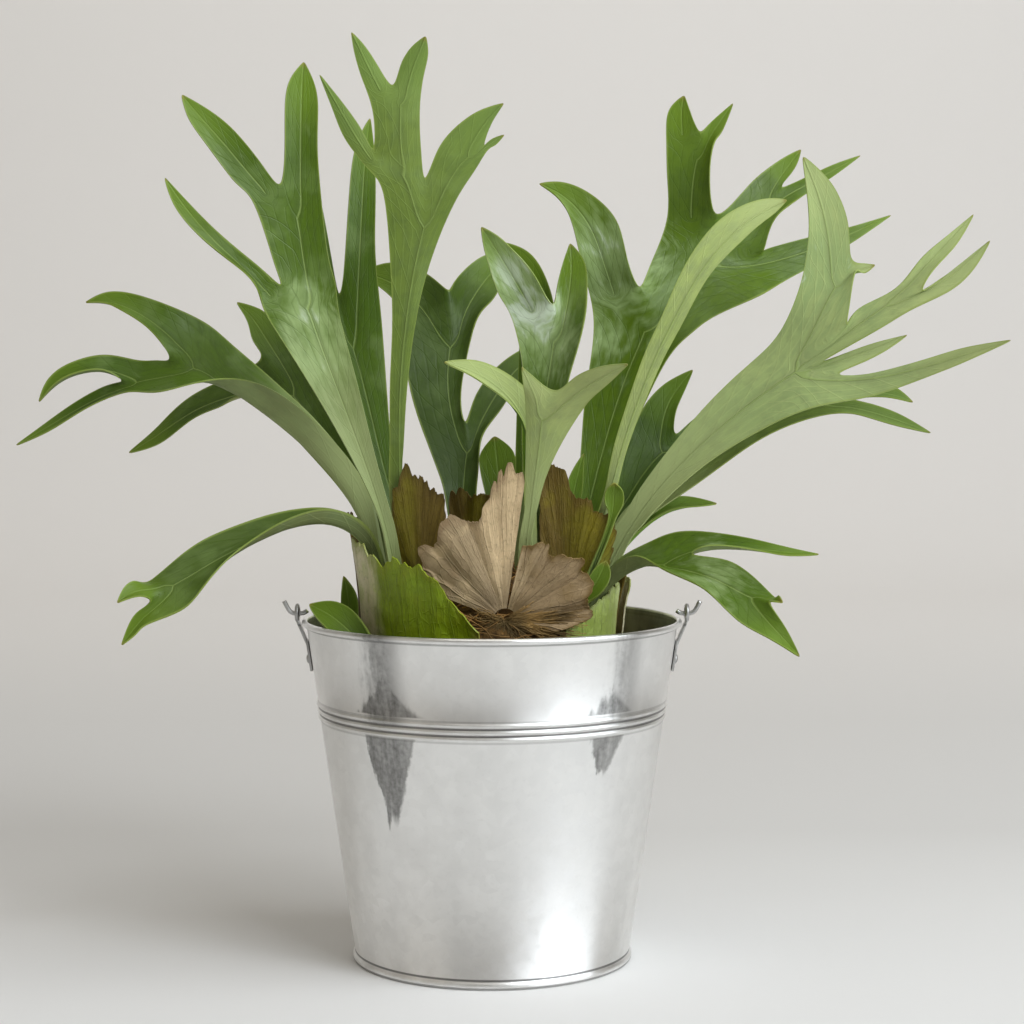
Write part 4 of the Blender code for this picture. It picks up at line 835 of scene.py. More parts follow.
def earth_paint(name, colour, scale):
    """Loose, dark matter with lighter grains in it."""
    paint = Paint(name, {"Specular IOR Level": 0.25})
    broad = paint.noise(40.0, 4.0)
    grain = paint.noise(scale, 5.0)
    grit = paint.cells(scale * 0.8)
    paint.feed("Base Color", paint.coats(
        tinted(colour, 0.45),
        (paint.rise(grain, 0.3, 0.7), tinted(colour, 1.6)),
        (paint.rise(broad, 0.4, 0.7) * 0.6, tinted(colour, 1.1, 1.15)),
        (paint.rise(grit, 0.22, 0.1) * 0.35, tinted(colour, 3.2, 1.1))))
    paint.feed("Roughness", 0.82 + grain * 0.15)
    paint.bump(grain * 1.0 + grit * 0.6, 0.9, 0.0012)
    return paint.material


def fibre_paint(name, colour):
    """Dry root fibres, some of them paler."""
    paint = Paint(name, {"Specular IOR Level": 0.3})
    broad = paint.noise(60.0, 2.0)
    fine = paint.noise(500.0, 3.0)
    paint.feed("Base Color", paint.coats(
        tinted(colour, 0.7),
        (paint.rise(broad, 0.3, 0.7), tinted(colour, 2.4, 1.08)),
        (paint.rise(fine, 0.4, 0.7) * 0.5, tinted(colour, 1.2))))
    paint.feed("Roughness", 0.7 + fine * 0.2)
    return paint.material


def sides(upper, under, name, coat=0.0, roughness=0.44):
    """A blade's smooth upper side and felted underside, as (upper, under) materials."""
    tones = bpy.context.scene.fern_colours
    smooth_stalk = tinted(tones.stalk, 0.85)
    return (leaf_paint(f"{name}_upper", upper, tones.rib, smooth_stalk, roughness, False, coat),
            leaf_paint(f"{name}_underside", under, tones.rib, tones.stalk, 0.62, True, 0.0))


def blade_paints():
    """The pair of materials for each finish: the side that the front view sees, then the other."""
    tones = bpy.context.scene.fern_colours
    green = sides(tones.upper, tinted(tones.under, 0.5, 0.99), "frond")
    pale = sides(tones.upper, tones.under, "pale_frond")
    # painted shade: darker copies for fronds in the plant's shade, the second darker still
    dark = sides(tones.shade, tinted(tones.under, 0.8), "shaded_frond")
    deep = sides(tinted(tones.shade, 0.5), tinted(tones.under, 0.5), "shadowed_frond")
    fresh = sides(tones.young, tinted(tones.young, 1.2), "young_frond")
    glossy = sides(tinted(tones.upper, 0.85), tones.under, "glossy_frond", 0.7, 0.3)
    felted = sides(tones.upper, tones.felt, "felted_frond")
    return {UPPER: green, UNDER: pale[::-1], FELT: felted[::-1], SHADE: dark, SHADOWED: deep, YOUNG: fresh,
            GLOSS: glossy}


def shield_paints():
    """The material for each of the shields' finishes."""
    tones = bpy.context.scene.fern_colours
    paper, moss, olive, brown = tones.paper, tones.moss, tones.olive, tones.brown
    return {
        "papery": shield_paint("dry_shield", [
            (0.0, tinted(paper, 0.5, 1.02)), (0.4, tinted(paper, 0.62)), (0.56, paper),
            (1.0, tinted(paper, 0.95))],
            tinted(paper, 0.36, 1.12), tinted(paper, 1.15), 0.66, 8.0),
        "dry": shield_paint("browned_shield", [
            (0.0, tinted(paper, 0.8)), (0.3, tinted(paper, 0.6, 1.04)), (1.0, tinted(paper, 0.5, 1.08))],
            tinted(brown, 1.1, 1.15), tinted(paper, 0.75, 1.04), 0.66, 8.0),
        "brown": shield_paint("old_shield", [
            (0.0, tinted(olive, 0.9)), (0.3, olive), (0.5, tinted(brown, 1.1)), (0.8, tinted(brown, 1.3)),
            (1.0, tinted(brown, 0.9))],
            tinted(brown, 0.6, 1.1), tinted(brown, 1.5), 0.66, 11.0),
        "mossy": shield_paint("living_shield", [
            (0.0, (0.72, 0.66, 0.46)), (0.24, (0.66, 0.62, 0.36)), (0.33, tinted(moss, 0.8, 1.05)),
            (0.6, moss), (0.96, tinted(moss, 1.15)), (1.0, (0.36, 0.34, 0.06))],
            tinted(moss, 0.85, 1.2), tinted(moss, 1.35), 0.45, 9.0, 0.45),
        "leafy": shield_paint("pale_shield", [
            (0.0, (0.32, 0.43, 0.07)), (0.6, (0.42, 0.53, 0.12)), (1.0, (0.52, 0.60, 0.2))],
            (0.30, 0.34, 0.12), (0.36, 0.43, 0.16), 0.45, 8.0, 0.45),
        "olive": shield_paint("turning_shield", [
            (0.0, tinted(brown, 1.3)), (0.3, tinted(brown, 1.1)), (0.5, olive), (0.85, tinted(olive, 1.15)),
            (1.0, (0.26, 0.27, 0.04))],
            tinted(brown, 0.8, 1.1), tinted(olive, 1.5), 0.58, 10.0),
    }


def add_piece(name, mesh, materials, nodes):
    """Puts a finished mesh in the scene, in place of its nodes and riding on the part."""
    piece = bpy.data.objects.new(name, mesh)
    bpy.context.scene.collection.objects.link(piece)
    for material in materials:
        mesh.materials.append(material)
    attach(piece, "root")
    if nodes:
        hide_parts(*nodes)
    return piece


def mesh_of(name, bm):
    """The mesh of a bmesh measured in millimetres."""
    bmesh.ops.scale(bm, verts=bm.verts, vec=(MM, MM, MM))
    mesh = bpy.data.meshes.new(name)
    bm.to_mesh(mesh)
    bm.free()
    return mesh


def smoothed(mesh, angle=SHARP_METAL):
    """The mesh shaded smooth but for edges sharper than the angle."""
    mesh.shade_smooth()
    mesh.set_sharp_from_angle(angle=math.radians(angle))
    return mesh


def thicken(piece, thickness):
    """Gives a surface its thickness, half of it to each side."""
    solid = piece.modifiers.new("thickness", "SOLIDIFY")
    solid.thickness = thickness
    solid.offset = 0
    return solid


def settle(piece):
    """Applies a leaf's or a shield's modifiers, and shades it smooth."""
    evaluated = piece.evaluated_get(bpy.context.evaluated_depsgraph_get())
    mesh = bpy.data.meshes.new_from_object(evaluated)
    piece.modifiers.clear()
    piece.data = smoothed(mesh, SHARP_LEAF)


def wall_radius(z):
    """Outer radius of the pail's wall at a height."""
    return BASE_RADIUS + (TOP_RADIUS - BASE_RADIUS) * z / WALL_TOP


def mound_height(x, y):
    """Height of the root ball's surface over a point of its plan."""
    across, deep, high = MOUND_RADII
    left = 1 - ((x - MOUND_X) / across) ** 2 - (y / deep) ** 2
    return MIX_TOP + high * math.sqrt(max(left, 0.0))


def mound_front(x, z):
    """Depth of the root ball's front at a point seen from the front."""
    across, deep, high = MOUND_RADII
    left = 1 - ((x - MOUND_X) / across) ** 2 - ((z - MIX_TOP) / high) ** 2
    return -deep * math.sqrt(max(left, 0.0))


def turned(outline, steps, closed=False):
    """A profile of (radius, height) points spun round the upright axis, as a bmesh."""
    bm = bmesh.new()
    verts = [bm.verts.new((radius, 0, height)) for radius, height in outline]
    edges = [bm.edges.new(pair) for pair in zip(verts, verts[1:])]
    if closed:
        edges.append(bm.edges.new((verts[-1], verts[0])))
    bmesh.ops.spin(bm, geom=verts + edges, cent=(0, 0, 0), axis=(0, 0, 1), angle=2 * math.pi, steps=steps,
                   use_merge=True)
    bmesh.ops.remove_doubles(bm, verts=bm.verts, dist=0.001)
    bmesh.ops.recalc_face_normals(bm, faces=bm.faces)
    return bm


def tip_over(bm, verts, angle):
    """Turns vertices by an angle in radians from upright towards +X."""
    bmesh.ops.rotate(bm, verts=verts, cent=(0, 0, 0), matrix=Matrix.Rotation(angle, 3, "Y"))


def arc(centre, radius, start, end, steps):
    """Points of an arc in the profile's plane, by angles in degrees."""
    points = []
    for step in range(steps + 1):
        angle = math.radians(start + (end - start) * step / steps)
        points.append((centre[0] + radius * math.cos(angle), centre[1] + radius * math.sin(angle)))
    return points


def smooth_path(points, before=None, after=None):
    """The points with one more between each pair, on a smooth curve that may run on past both ends."""
    run = [points[0] if before is None else before, *points, points[-1] if after is None else after]
    path = [points[0]]
    for index in range(1, len(points)):
        path.append((9 * (run[index] + run[index + 1]) - run[index - 1] - run[index + 2]) / 16)
        path.append(points[index])
    return path


def station_rows(lobe, start, face, cup):
    """Left edge, midrib and right edge at each station of a lobe, as vectors."""
    end_face = Vector(lobe.face) if lobe.face else face
    end_cup = cup if lobe.cup is None else lobe.cup
    middles = [start] + [Vector(station[:3]) for station in lobe.rib]
    rows = []
    for index, (_, _, _, half) in enumerate(lobe.rib, 1):
        share = index / len(lobe.rib)
        tangent = (middles[min(index + 1, len(lobe.rib))] - middles[index - 1]).normalized()
        side = tangent.cross(face.lerp(end_face, share)).normalized()
        out = side.cross(tangent) * half
        middle = middles[index]
        row = [middle - side * half, middle - out * (cup + (end_cup - cup) * share), middle + side * half]
        rows.append(folded(row, out, lobe.fold[index - 1]))
    return rows, end_face, end_cup


def folded(row, out, fold):
    """The row with an edge turned up in front of the blade, so that its other side shows."""
    left, rib, right = row
    turned_up, kept = (left, right) if fold < 0 else (right, left)
    share = abs(fold)
    rib = rib.lerp(turned_up, 0.9 * share)
    edge = turned_up.lerp(turned_up.lerp(kept, 0.45) + out * 0.7, share)
    return [edge, rib, kept] if fold < 0 else [kept, rib, edge]


def fork_line(row, lobe):
    """The points across a fork: edge, rib, notch, rib and so on to the other edge."""
    left, rib, right = row
    sink = ((left + right) / 2 - rib) / (right - left).length
    corners = [left] + [Vector(notch) for notch in lobe.notches] + [right]
    line = [corners[0]]
    for start, end in zip(corners, corners[1:]):
        line += [(start + end) / 2 - sink * (end - start).length, end]
    return line


def lead_rib(rows, line):
    """Lets the midrib veer towards the broadest lobe over the stations before a fork."""
    widths = [(line[index + 2] - line[index]).length for index in range(0, len(line) - 2, 2)]
    broadest = widths.index(max(widths))
    lead = min(1.5 * (2 * max(widths) / (max(widths) + sorted(widths)[-2]) - 1), 1.0)
    left, _, right = rows[-1]
    whole = right - left
    share = (line[2 * broadest + 1] - left).dot(whole) / whole.length_squared - 0.5
    for row, weight in zip(rows[-2::-1], (0.7, 0.35, 0.1)):
        row[1] = row[1] + (row[2] - row[0]) * share * lead * weight


def fork_ends(lobe, line, face, cup):
    """What a fork's curves run on to: for the blade before it, and for each lobe what it comes from."""
    firsts = []
    for index, child in enumerate(lobe.lobes):
        start = (line[2 * index] + line[2 * index + 2]) / 2
        firsts.append(station_rows(child, start, face, cup)[0][0])
    middle = firsts[len(firsts) // 2][1] if len(firsts) % 2 else None
    inner = [[None, None, None] for _ in firsts]
    for index in range(len(firsts) - 1):
        inner[index][2] = firsts[index + 1][0]
        inner[index + 1][0] = firsts[index][2]
    return [firsts[0][0], middle, firsts[-1][2]], inner


def straightness(vert, one, other):
    """How nearly a vertex lies between two others, 1 where it is right between them."""
    return (one.co - other.co).length / ((one.co - vert.co).length + (other.co - vert.co).length)


class Blade:
    """Grows a frond's surface row by row, and notes each point's distance from rib, edge, foot and tip."""

    def __init__(self):
        self.bm = bmesh.new()
        layers = self.bm.verts.layers.float
        self.from_rib = layers.new("from_rib")
        self.from_margin = layers.new("from_margin")
        self.along = layers.new("along")
        self.to_tip = layers.new("to_tip")
        self.crease = layers.new("crease_vert")

    def start(self, middle, side, half):
        """The first row, across the stalk's foot."""
        row = [self.bm.verts.new(middle + side * half * step) for step in (-1, 0, 1)]
        for pair in zip(row, row[1:]):
            self.bm.edges.new(pair)
        self.mark(row, 0.0)
        return row

    def mark(self, row, along):
        """Notes the distances for a row of edge, rib, edge, or of several such side by side."""
        for index, vert in enumerate(row):
            beside = row[index - 1] if index else row[1]
            half = (vert.co - beside.co).length
            on_rib = index % 2 == 1
            vert[self.from_rib] = 0.0 if on_rib else half
            vert[self.from_margin] = half if on_rib else 0.0
            vert[self.along] = along

    def extrude(self, row):
        """Extrudes a row, and gives the new one in the same order."""
        edges = [self.bm.edges.get(pair) for pair in zip(row, row[1:])]
        grown = bmesh.ops.extrude_edge_only(self.bm, edges=edges)["geom"]
        verts = [vert for vert in grown if isinstance(vert, bmesh.types.BMVert)]
        return [min(verts, key=lambda vert: (vert.co - old.co).length) for old in row]

    def split(self, row, pieces):
        """Adds vertices to a row's edges until it can carry that many lobes side by side."""
        chain = [row[0]]
        for start, end in zip(row, row[1:]):
            vert = start
            for cut in range(pieces - 1):
                vert = bmesh.utils.edge_split(self.bm.edges.get((vert, end)), vert, 1 / (pieces - cut))[1]
                chain.append(vert)
            chain.append(end)
        return chain

    def grow(self, lobe, base, face, cup, before=(None, None, None)):
        """Grows a lobe and the lobes it forks into from a row of three vertices, and gives its length."""
        first = [vert.co.copy() for vert in base]
        rows, face, cup = station_rows(lobe, (first[0] + first[2]) / 2, face, cup)
        line, after, inner = None, (None, None, None), ()
        if lobe.lobes:
            line = fork_line(rows[-1], lobe)
            lead_rib(rows, line)
            after, inner = fork_ends(lobe, line, face, cup)
            rows[-1][1] = line[len(line) // 2]
        columns = [smooth_path(list(column), *ends)
                   for column, *ends in zip(zip(first, *rows), before, after)]
        grown = [base]
        along = base[1][self.along]
        for places in list(zip(*columns))[1:]:
            along += (places[1] - grown[-1][1].co).length
            row = self.extrude(grown[-1])
            for vert, place in zip(row, places):
                vert.co = place
            self.mark(row, along)
            grown.append(row)
        beyond = 0.0
        if lobe.lobes:
            chain = self.split(row, len(lobe.lobes))
            for vert, place in zip(chain, line):
                vert.co = place
            self.mark(chain, along)
            for rib in chain[1::2]:
                if not self.bm.edges.get((grown[-2][1], rib)):
                    bmesh.ops.connect_vert_pair(self.bm, verts=[grown[-2][1], rib])
            last = ([first] + rows)[-2]
            inner[0][0] = last[0]
            inner[-1][2] = last[2]
            for index, (child, ends) in enumerate(zip(lobe.lobes, inner)):
                ends[1] = last[1]
                beyond = max(beyond, self.grow(child, chain[2 * index:2 * index + 3], face, cup, ends))
            grown.append(chain)
        for row in grown[1:]:
            for vert in row:
                vert[self.to_tip] = beyond + along - row[1][self.along]
        if not lobe.lobes:
            for vert in row:
                vert[self.from_rib] = 0.0
                vert[self.crease] = TIP_CREASE
            bmesh.ops.pointmerge(self.bm, verts=row, merge_co=row[1].co)
        return beyond + along - base[1][self.along]

    def ease_ribs(self):
        """Lets the midribs run in a smoother line through the forks."""
        for _ in range(EASE_ROUNDS):
            places = {}
            for vert in self.bm.verts:
                beside = [edge.other_vert(vert) for edge in vert.link_edges]
                ribs = [other for other in beside if other[self.from_rib] == 0.0]
                if vert[self.from_rib] == 0.0 and vert[self.from_margin] > 0.0 and len(ribs) > 1:
                    one, other = max(combinations(ribs, 2), key=lambda pair: straightness(vert, *pair))
                    places[vert] = vert.co.lerp((one.co + other.co) / 2, EASE_SHARE)
            for vert, place in places.items():
                vert.co = place

    def wave(self, amount):
        """Gives the margins a gentle wave, more of it where the blade is broad."""
        for vert in self.bm.verts:
            if vert[self.from_margin] == 0.0 and vert[self.from_rib] > 0.0:
                height = min(vert[self.from_rib] * WAVE_SHARE, WAVE_HIGHEST)
                vert.co += vert.normal * noise.noise(vert.co / WAVE_LENGTH) * height * amount


def sheen_at(name, place):
    """How much painted sheen a frond has at a place."""
    share = 0.0
    for x, z, radius, strength in SHEEN_SPOTS.get(name, ()):
        share = max(share, strength * (1.25 - math.hypot(place.x - x, place.z - z) / radius))
    return min(share, 1.4)


def make_frond(frond, paints):
    """A frond: a fine surface grown from its stations, then given its thickness."""
    sizes = bpy.context.scene.fern_sizes
    x, y = frond.foot
    mouth = Vector((x, y, MIX_TOP if frond.in_mix else mound_height(x, y)))
    way = (Vector(frond.blade.rib[0][:3]) - mouth).normalized()
    foot = mouth - way * SOCKET_DEPTH
    blade = Blade()
    base = blade.start(foot, way.cross(Vector(frond.face)).normalized(), frond.half)
    blade.grow(frond.blade, base, Vector(frond.face), frond.cup)
    bm = blade.bm
    blade.ease_ribs()
    bm.faces.ensure_lookup_table()
    bm.normal_update()
    if bm.faces[0].normal.dot(Vector(frond.face)) < 0:
        bmesh.ops.reverse_faces(bm, faces=bm.faces)
        bm.normal_update()
    blade.wave(frond.wavy)
    layers = {name: bm.verts.layers.float.new(name) for name in ("tone", "pale", "dim", "bloom")}
    for vert in bm.verts:
        vert[layers["tone"]] = frond.tone
        vert[layers["dim"]] = frond.dim
        vert[layers["bloom"]] = sheen_at(frond.name, vert.co)
        paleness = (1.3 * frond.pale - vert[blade.along]) / (0.75 * frond.pale)
        vert[layers["pale"]] = min(max(paleness, 0.0), 1.0)
    piece = add_piece(f"{frond.name}_blade", mesh_of(frond.name, bm), paints[frond.finish], [frond.name])
    group = piece.vertex_groups.new(name="stalk")
    for vert in piece.data.vertices:
        reach = (vert.co / MM - foot).length
        group.add([vert.index], max(0.0, 1 - reach / STALK_REACH), "REPLACE")
    finer = piece.modifiers.new("finer", "SUBSURF")
    finer.levels = 2
    finer.render_levels = 2
    solid = thicken(piece, sizes.stalk)
    solid.vertex_group = "stalk"
    solid.thickness_vertex_group = sizes.blade / sizes.stalk
    solid.material_offset = 1
    settle(piece)


def make_fronds(fronds):
    """Makes a group of fronds, each side of each blade in its own material."""
    paints = blade_paints()
    for frond in fronds:
        make_frond(frond, paints)


def value_along(values, share):
    """Reads a list of evenly spaced values on a smooth curve at a share of its length."""
    place = share * (len(values) - 1)
    index = min(int(place), len(values) - 2)
    t = place - index
    before, start, end, after = (values[max(index - 1, 0)], values[index], values[index + 1],
                                 values[min(index + 2, len(values) - 1)])
    straight = start + (end - start) * t
    curved = 0.5 * (2 * start + (end - before) * t + (2 * before - 5 * start + 4 * end - after) * t * t
                    + (3 * start - before - 3 * end + after) * t ** 3)
    return (straight + curved) / 2


def wrap_point(shape, across, up):
    """A point of a sheet wrapped round the root ball."""
    start, end, layer, flare, heights = shape
    low = MIX_TOP + RING_RISE
    angle = math.radians(start + (end - start) * across)
    ripple = 0.5 * math.sin(9 * math.pi * across) * up + crinkle(across * 14 + start, up) * (0.2 + up)
    out = layer + flare * up * up + ripple
    across_radius, deep_radius = (radius + out for radius in RING_RADII)
    return Vector((MOUND_X + across_radius * math.sin(angle), -deep_radius * math.cos(angle),
                   low + (value_along(heights, across) - low) * up))


def crease(place):
    """An irregular run of sharp folds and soft hollows, from -0.5 to 0.5."""
    return 0.5 - 2.4 * abs(noise.noise((place, 3.7, 9.1)))


def crinkle(across, up):
    """A papery unevenness of about half a millimetre."""
    return 0.55 * noise.noise((across, up * 3, 0.5)) + 0.3 * noise.noise((across * 2.7, up * 8, 4.5))


def fan_point(shape, across, up):
    """A point of a sheet that spreads from a hub."""
    (hub_x, hub_z), depth, lean, bend_left, bend_right, outline = shape
    if depth is None:
        depth = mound_front(hub_x, hub_z) - FAN_STANDOFF
    angles, reaches = zip(*outline)
    angle = math.radians(value_along(angles, across))
    reach = FAN_HUB + (value_along(reaches, across) - FAN_HUB) * up
    x = reach * math.cos(angle)
    z = reach * math.sin(angle)
    bend = bend_left if x < 0 else bend_right
    turn = math.degrees(angle)
    pleat = (2.8 * crease(turn / 19 + hub_x) + 0.25 * crease(turn / 7 + hub_z)) * up
    curl = 2.2 * noise.noise((turn / 9, hub_x, 2.0)) * up ** 6
    pleat += crinkle(across * 9 + hub_x, up) * (0.3 + 0.7 * up) + curl
    forward = lean * reach * reach / FAN_LEAN_REACH
    return Vector((hub_x + x, depth - forward + x * x / bend + pleat, hub_z + z))


def make_shield(name, shape, point, material):
    """A shield as a fine sheet whose points follow the rule of its kind."""
    bm = bmesh.new()
    across_layer = bm.verts.layers.float.new("across")
    up_layer = bm.verts.layers.float.new("up")
    bmesh.ops.create_grid(bm, x_segments=SHIELD_COLUMNS, y_segments=SHIELD_ROWS, size=1.0)
    for vert in bm.verts:
        across = (vert.co.x + 1) / 2
        up = (vert.co.y + 1) / 2
        vert[across_layer] = across
        vert[up_layer] = up
        broad = abs(noise.noise((across * 11, len(name), 1.5)))
        small = abs(noise.noise((across * 47, 3.0, 5.5)))
        ragged = 1 - NOTCH_DEPTH * max(1 - 2.2 * broad + 0.5 * small, 0.0) * up ** 5
        vert.co = point(shape, across, up * ragged)
    bmesh.ops.recalc_face_normals(bm, faces=bm.faces)
    piece = add_piece(f"{name}_sheet", mesh_of(name, bm), [material], [name])
    thicken(piece, bpy.context.scene.fern_sizes.shield)
    settle(piece)


def wall_outline(rim):
    """The wall's profile: round the rolled rim, down the beads and round the foot ring, and up inside."""
    outline = arc((rim - ROLL_INSET, WALL_TOP + ROLL_RISE), ROLL_RADIUS, start=200, end=-110, steps=22)
    outline.append((wall_radius(WALL_TOP - ROLL_DROP), WALL_TOP - ROLL_DROP))
    for height in BEAD_HEIGHTS:
        for step in range(BEAD_STEPS + 1):
            share = step / BEAD_STEPS
            z = height + BEAD_HALF * (1 - 2 * share)
            outline.append((wall_radius(z) + BEAD_REACH * math.sin(math.pi * share) ** 1.5, z))
    outline.append((wall_radius(WALL_FOOT), WALL_FOOT))
    ledge = FOOT_RING[-1][1]
    return [*outline, *FOOT_RING, (wall_radius(ledge) - SHEET, ledge)]


def add_strap(bm, size, lean, middle, soft):
    """Adds a flat bar that leans out from upright, with its edges softened."""
    strap = bmesh.ops.create_cube(bm, size=1.0)["verts"]
    bmesh.ops.scale(bm, verts=strap, vec=size)
    tip_over(bm, strap, lean)
    bmesh.ops.translate(bm, verts=strap, vec=middle)
    bmesh.ops.bevel(bm, geom=[edge for edge in bm.edges if edge.verts[0] in strap], offset=soft,
                    affect="EDGES", segments=2, profile=0.5, material=-1)


def ear_mesh(name, side):
    """One ear's plate, flat on the wall, and the arm from it to the eye."""
    bm = bmesh.new()
    thickness, width, height = PLATE
    add_strap(bm, (thickness, width, height / math.cos(WALL_TILT)), WALL_TILT,
              (wall_radius(PLATE_HEIGHT) + PLATE_OUT, 0, PLATE_HEIGHT), PLATE_SOFT)
    low = Vector((wall_radius(ARM_FOOT) + ARM_OUT, 0, ARM_FOOT))
    high = Vector((EYE_X, 0, ARM_TOP))
    lean = math.atan2(high.x - low.x, high.z - low.z)
    add_strap(bm, (thickness, ARM_WIDTH, (high - low).length), lean, (low + high) / 2, ARM_SOFT)
    if side < 0:
        bmesh.ops.scale(bm, verts=bm.verts, vec=(-1, 1, 1))
        bmesh.ops.reverse_faces(bm, faces=bm.faces)
    return smoothed(mesh_of(name, bm))


def eye_mesh(name, side):
    """The ear's eye: a thick ring across the pail's side."""
    radius, thickness = EYE_RING
    circle = arc((radius, 0), thickness, start=0, end=360, steps=14)[:-1]
    outline = [(x, z * EYE_FLATNESS) for x, z in circle]
    bm = turned(outline, steps=36, closed=True)
    tip_over(bm, bm.verts, math.pi / 2)
    bmesh.ops.translate(bm, verts=bm.verts, vec=(side * EYE_X, 0, EYE_HEIGHT))
    return smoothed(mesh_of(name, bm))


def rivet_mesh(name, side):
    """A rivet with a domed head and its shank in the wall."""
    radius, rim, rise = RIVET_HEAD
    dome = [(radius * math.cos(angle), rim + rise * math.sin(angle)) for angle in (1.2, 0.8, 0.4, 0.0)]
    bm = turned([(0, rim + rise), *dome, *RIVET_SHANK], steps=24)
    tip_over(bm, bm.verts, side * (math.pi / 2 + WALL_TILT))
    out = wall_radius(RIVET_HEIGHT) + RIVET_OUT
    bmesh.ops.translate(bm, verts=bm.verts, vec=(side * out, 0, RIVET_HEIGHT))
    return smoothed(mesh_of(name, bm))


def hook_mesh(name, side):
    """The bent end of wire that hangs in the ear's eye."""
    points = [Vector((x, 0, z)) for x, z in HOOK_PATH]
    path = [Vector((side * point.x, 0, point.z)) for point in smooth_path(smooth_path(points))]
    return wire_mesh(name, [path], HOOK_RADIUS, roundness=6)


def wire_mesh(name, paths, radius, roundness=0):
    """Round wires along paths of points in millimetres, as one mesh."""
    curve = bpy.data.curves.new(name, "CURVE")
    curve.dimensions = "3D"
    curve.bevel_depth = radius * MM
    curve.bevel_resolution = roundness
    curve.use_fill_caps = True
    for path in paths:
        spline = curve.splines.new("POLY")
        spline.points.add(len(path) - 1)
        for point, place in zip(spline.points, path):
            point.co = (*(place * MM), 1.0)
    holder = bpy.data.objects.new(name, curve)
    bpy.context.scene.collection.objects.link(holder)
    evaluated = holder.evaluated_get(bpy.context.evaluated_depsgraph_get())
    mesh = bpy.data.meshes.new_from_object(evaluated)
    bpy.data.objects.remove(holder)
    bm = bmesh.new()
    bm.from_mesh(mesh)
    bmesh.ops.remove_doubles(bm, verts=bm.verts, dist=0.000001)
    bm.to_mesh(mesh)
    bm.free()
    mesh.shade_smooth()
    return mesh


class FERN_OT_pail(bpy.types.Operator):
    """Make the pail's wall and floor"""

    bl_idname = "fern.pail"
    bl_label = "Pail"

    def execute(self, context):
        zinc = zinc_paint("galvanised_sheet", context.scene.fern_colours.zinc)
        outline = wall_outline(context.scene.fern_sizes.rim / MM)
        wall = smoothed(mesh_of("pail_wall_sheet", turned(outline, steps=160, closed=True)), SHARP_WALL)
        add_piece("pail_wall_sheet", wall, [zinc], ["pail_wall"])
        floor = smoothed(mesh_of("pail_floor_disc", turned(FLOOR_DISC, steps=96)))
        add_piece("pail_floor_disc", floor, [zinc], ["pail_floor"])
        return {"FINISHED"}


class FERN_OT_ears(bpy.types.Operator):
    """Make the ears, their rivets and the wire hooks"""

    bl_idname = "fern.ears"
    bl_label = "Ears and hooks"

    def execute(self, context):
        zinc = zinc_paint("galvanised_fittings", tinted(context.scene.fern_colours.zinc, 0.5, 1.01))
        for hand, side in (("left", -1), ("right", 1)):
            for kind, part, make in (("ear", "strap", ear_mesh), ("ear", "eye", eye_mesh),
                                     ("rivet", "head", rivet_mesh), ("hook", "wire", hook_mesh)):
                node = f"{kind}_{hand}"
                name = f"{node}_{part}"
                add_piece(name, make(name, side), [zinc], [node])
        return {"FINISHED"}


def mix_mesh():
    """The potting mix: a block that fills the pail, uneven on top."""
    rings = [(MIX_RADIUS * ring / MIX_RINGS, MIX_TOP) for ring in range(MIX_RINGS + 1)]
    mesh = mesh_of("potting_mix_heap", turned([*rings, MIX_FOOT, (0, MIX_FOOT[1])], steps=120))
    for vert in mesh.vertices:
        x, y, z = vert.co / MM
        if z > MIX_TOP - 1:
            rough = 1.3 * noise.noise((x / 9, y / 9, 2.0)) + 0.9 * noise.noise((x / 3.2, y / 3.2, 7.0))
            vert.co.z = (MIX_TOP - MIX_SINK + rough) * MM
    return smoothed(mesh, SHARP_EARTH)


def crumb_mesh(count):
    """Crumbs of bark and mix lying on top of the potting mix."""
    draw = random.Random(11)
    bm = bmesh.new()
    for _ in range(count):
        angle = draw.uniform(0, 2 * math.pi)
        reach = draw.uniform(*CRUMB_REACH)
        size = draw.uniform(*CRUMB_SIZE)
        crumb = bmesh.ops.create_icosphere(bm, subdivisions=1, radius=size)["verts"]
        for vert in crumb:
            vert.co *= draw.uniform(0.75, 1.2)
        bmesh.ops.scale(bm, verts=crumb, vec=(1, draw.uniform(0.5, 1), draw.uniform(0.4, 0.8)))
        turn = Matrix.Rotation(draw.uniform(0, 6), 3, "Z")
        bmesh.ops.rotate(bm, verts=crumb, cent=(0, 0, 0), matrix=turn)
        bmesh.ops.translate(bm, verts=crumb, vec=(reach * math.cos(angle), reach * math.sin(angle),
                                                  MIX_TOP - CRUMB_SINK + 0.35 * size))
    return mesh_of("mix_crumbs", bm)


def ball_mesh():
    """The root ball: the mound's upper half with a lumpy, fibrous surface."""
    bm = bmesh.new()
    bmesh.ops.create_uvsphere(bm, u_segments=96, v_segments=64, radius=1.0)
    bmesh.ops.bisect_plane(bm, geom=bm.verts[:] + bm.edges[:] + bm.faces[:], plane_co=(0, 0, 0.006),
                           plane_no=(0, 0, 1), clear_inner=True)
    bmesh.ops.contextual_create(bm, geom=[edge for edge in bm.edges if edge.is_boundary])
    for vert in bm.verts:
        if vert.co.z > 0.01:
            away = vert.co.copy()
            vert.co *= 0.985 + 0.02 * noise.noise(away * 7) + 0.012 * noise.noise(away * 23)
    bmesh.ops.scale(bm, verts=bm.verts, vec=MOUND_RADII)
    bmesh.ops.translate(bm, verts=bm.verts, vec=(MOUND_X, 0, MIX_TOP))
    bmesh.ops.recalc_face_normals(bm, faces=bm.faces)
    return smoothed(mesh_of("root_ball_mass", bm), SHARP_EARTH)


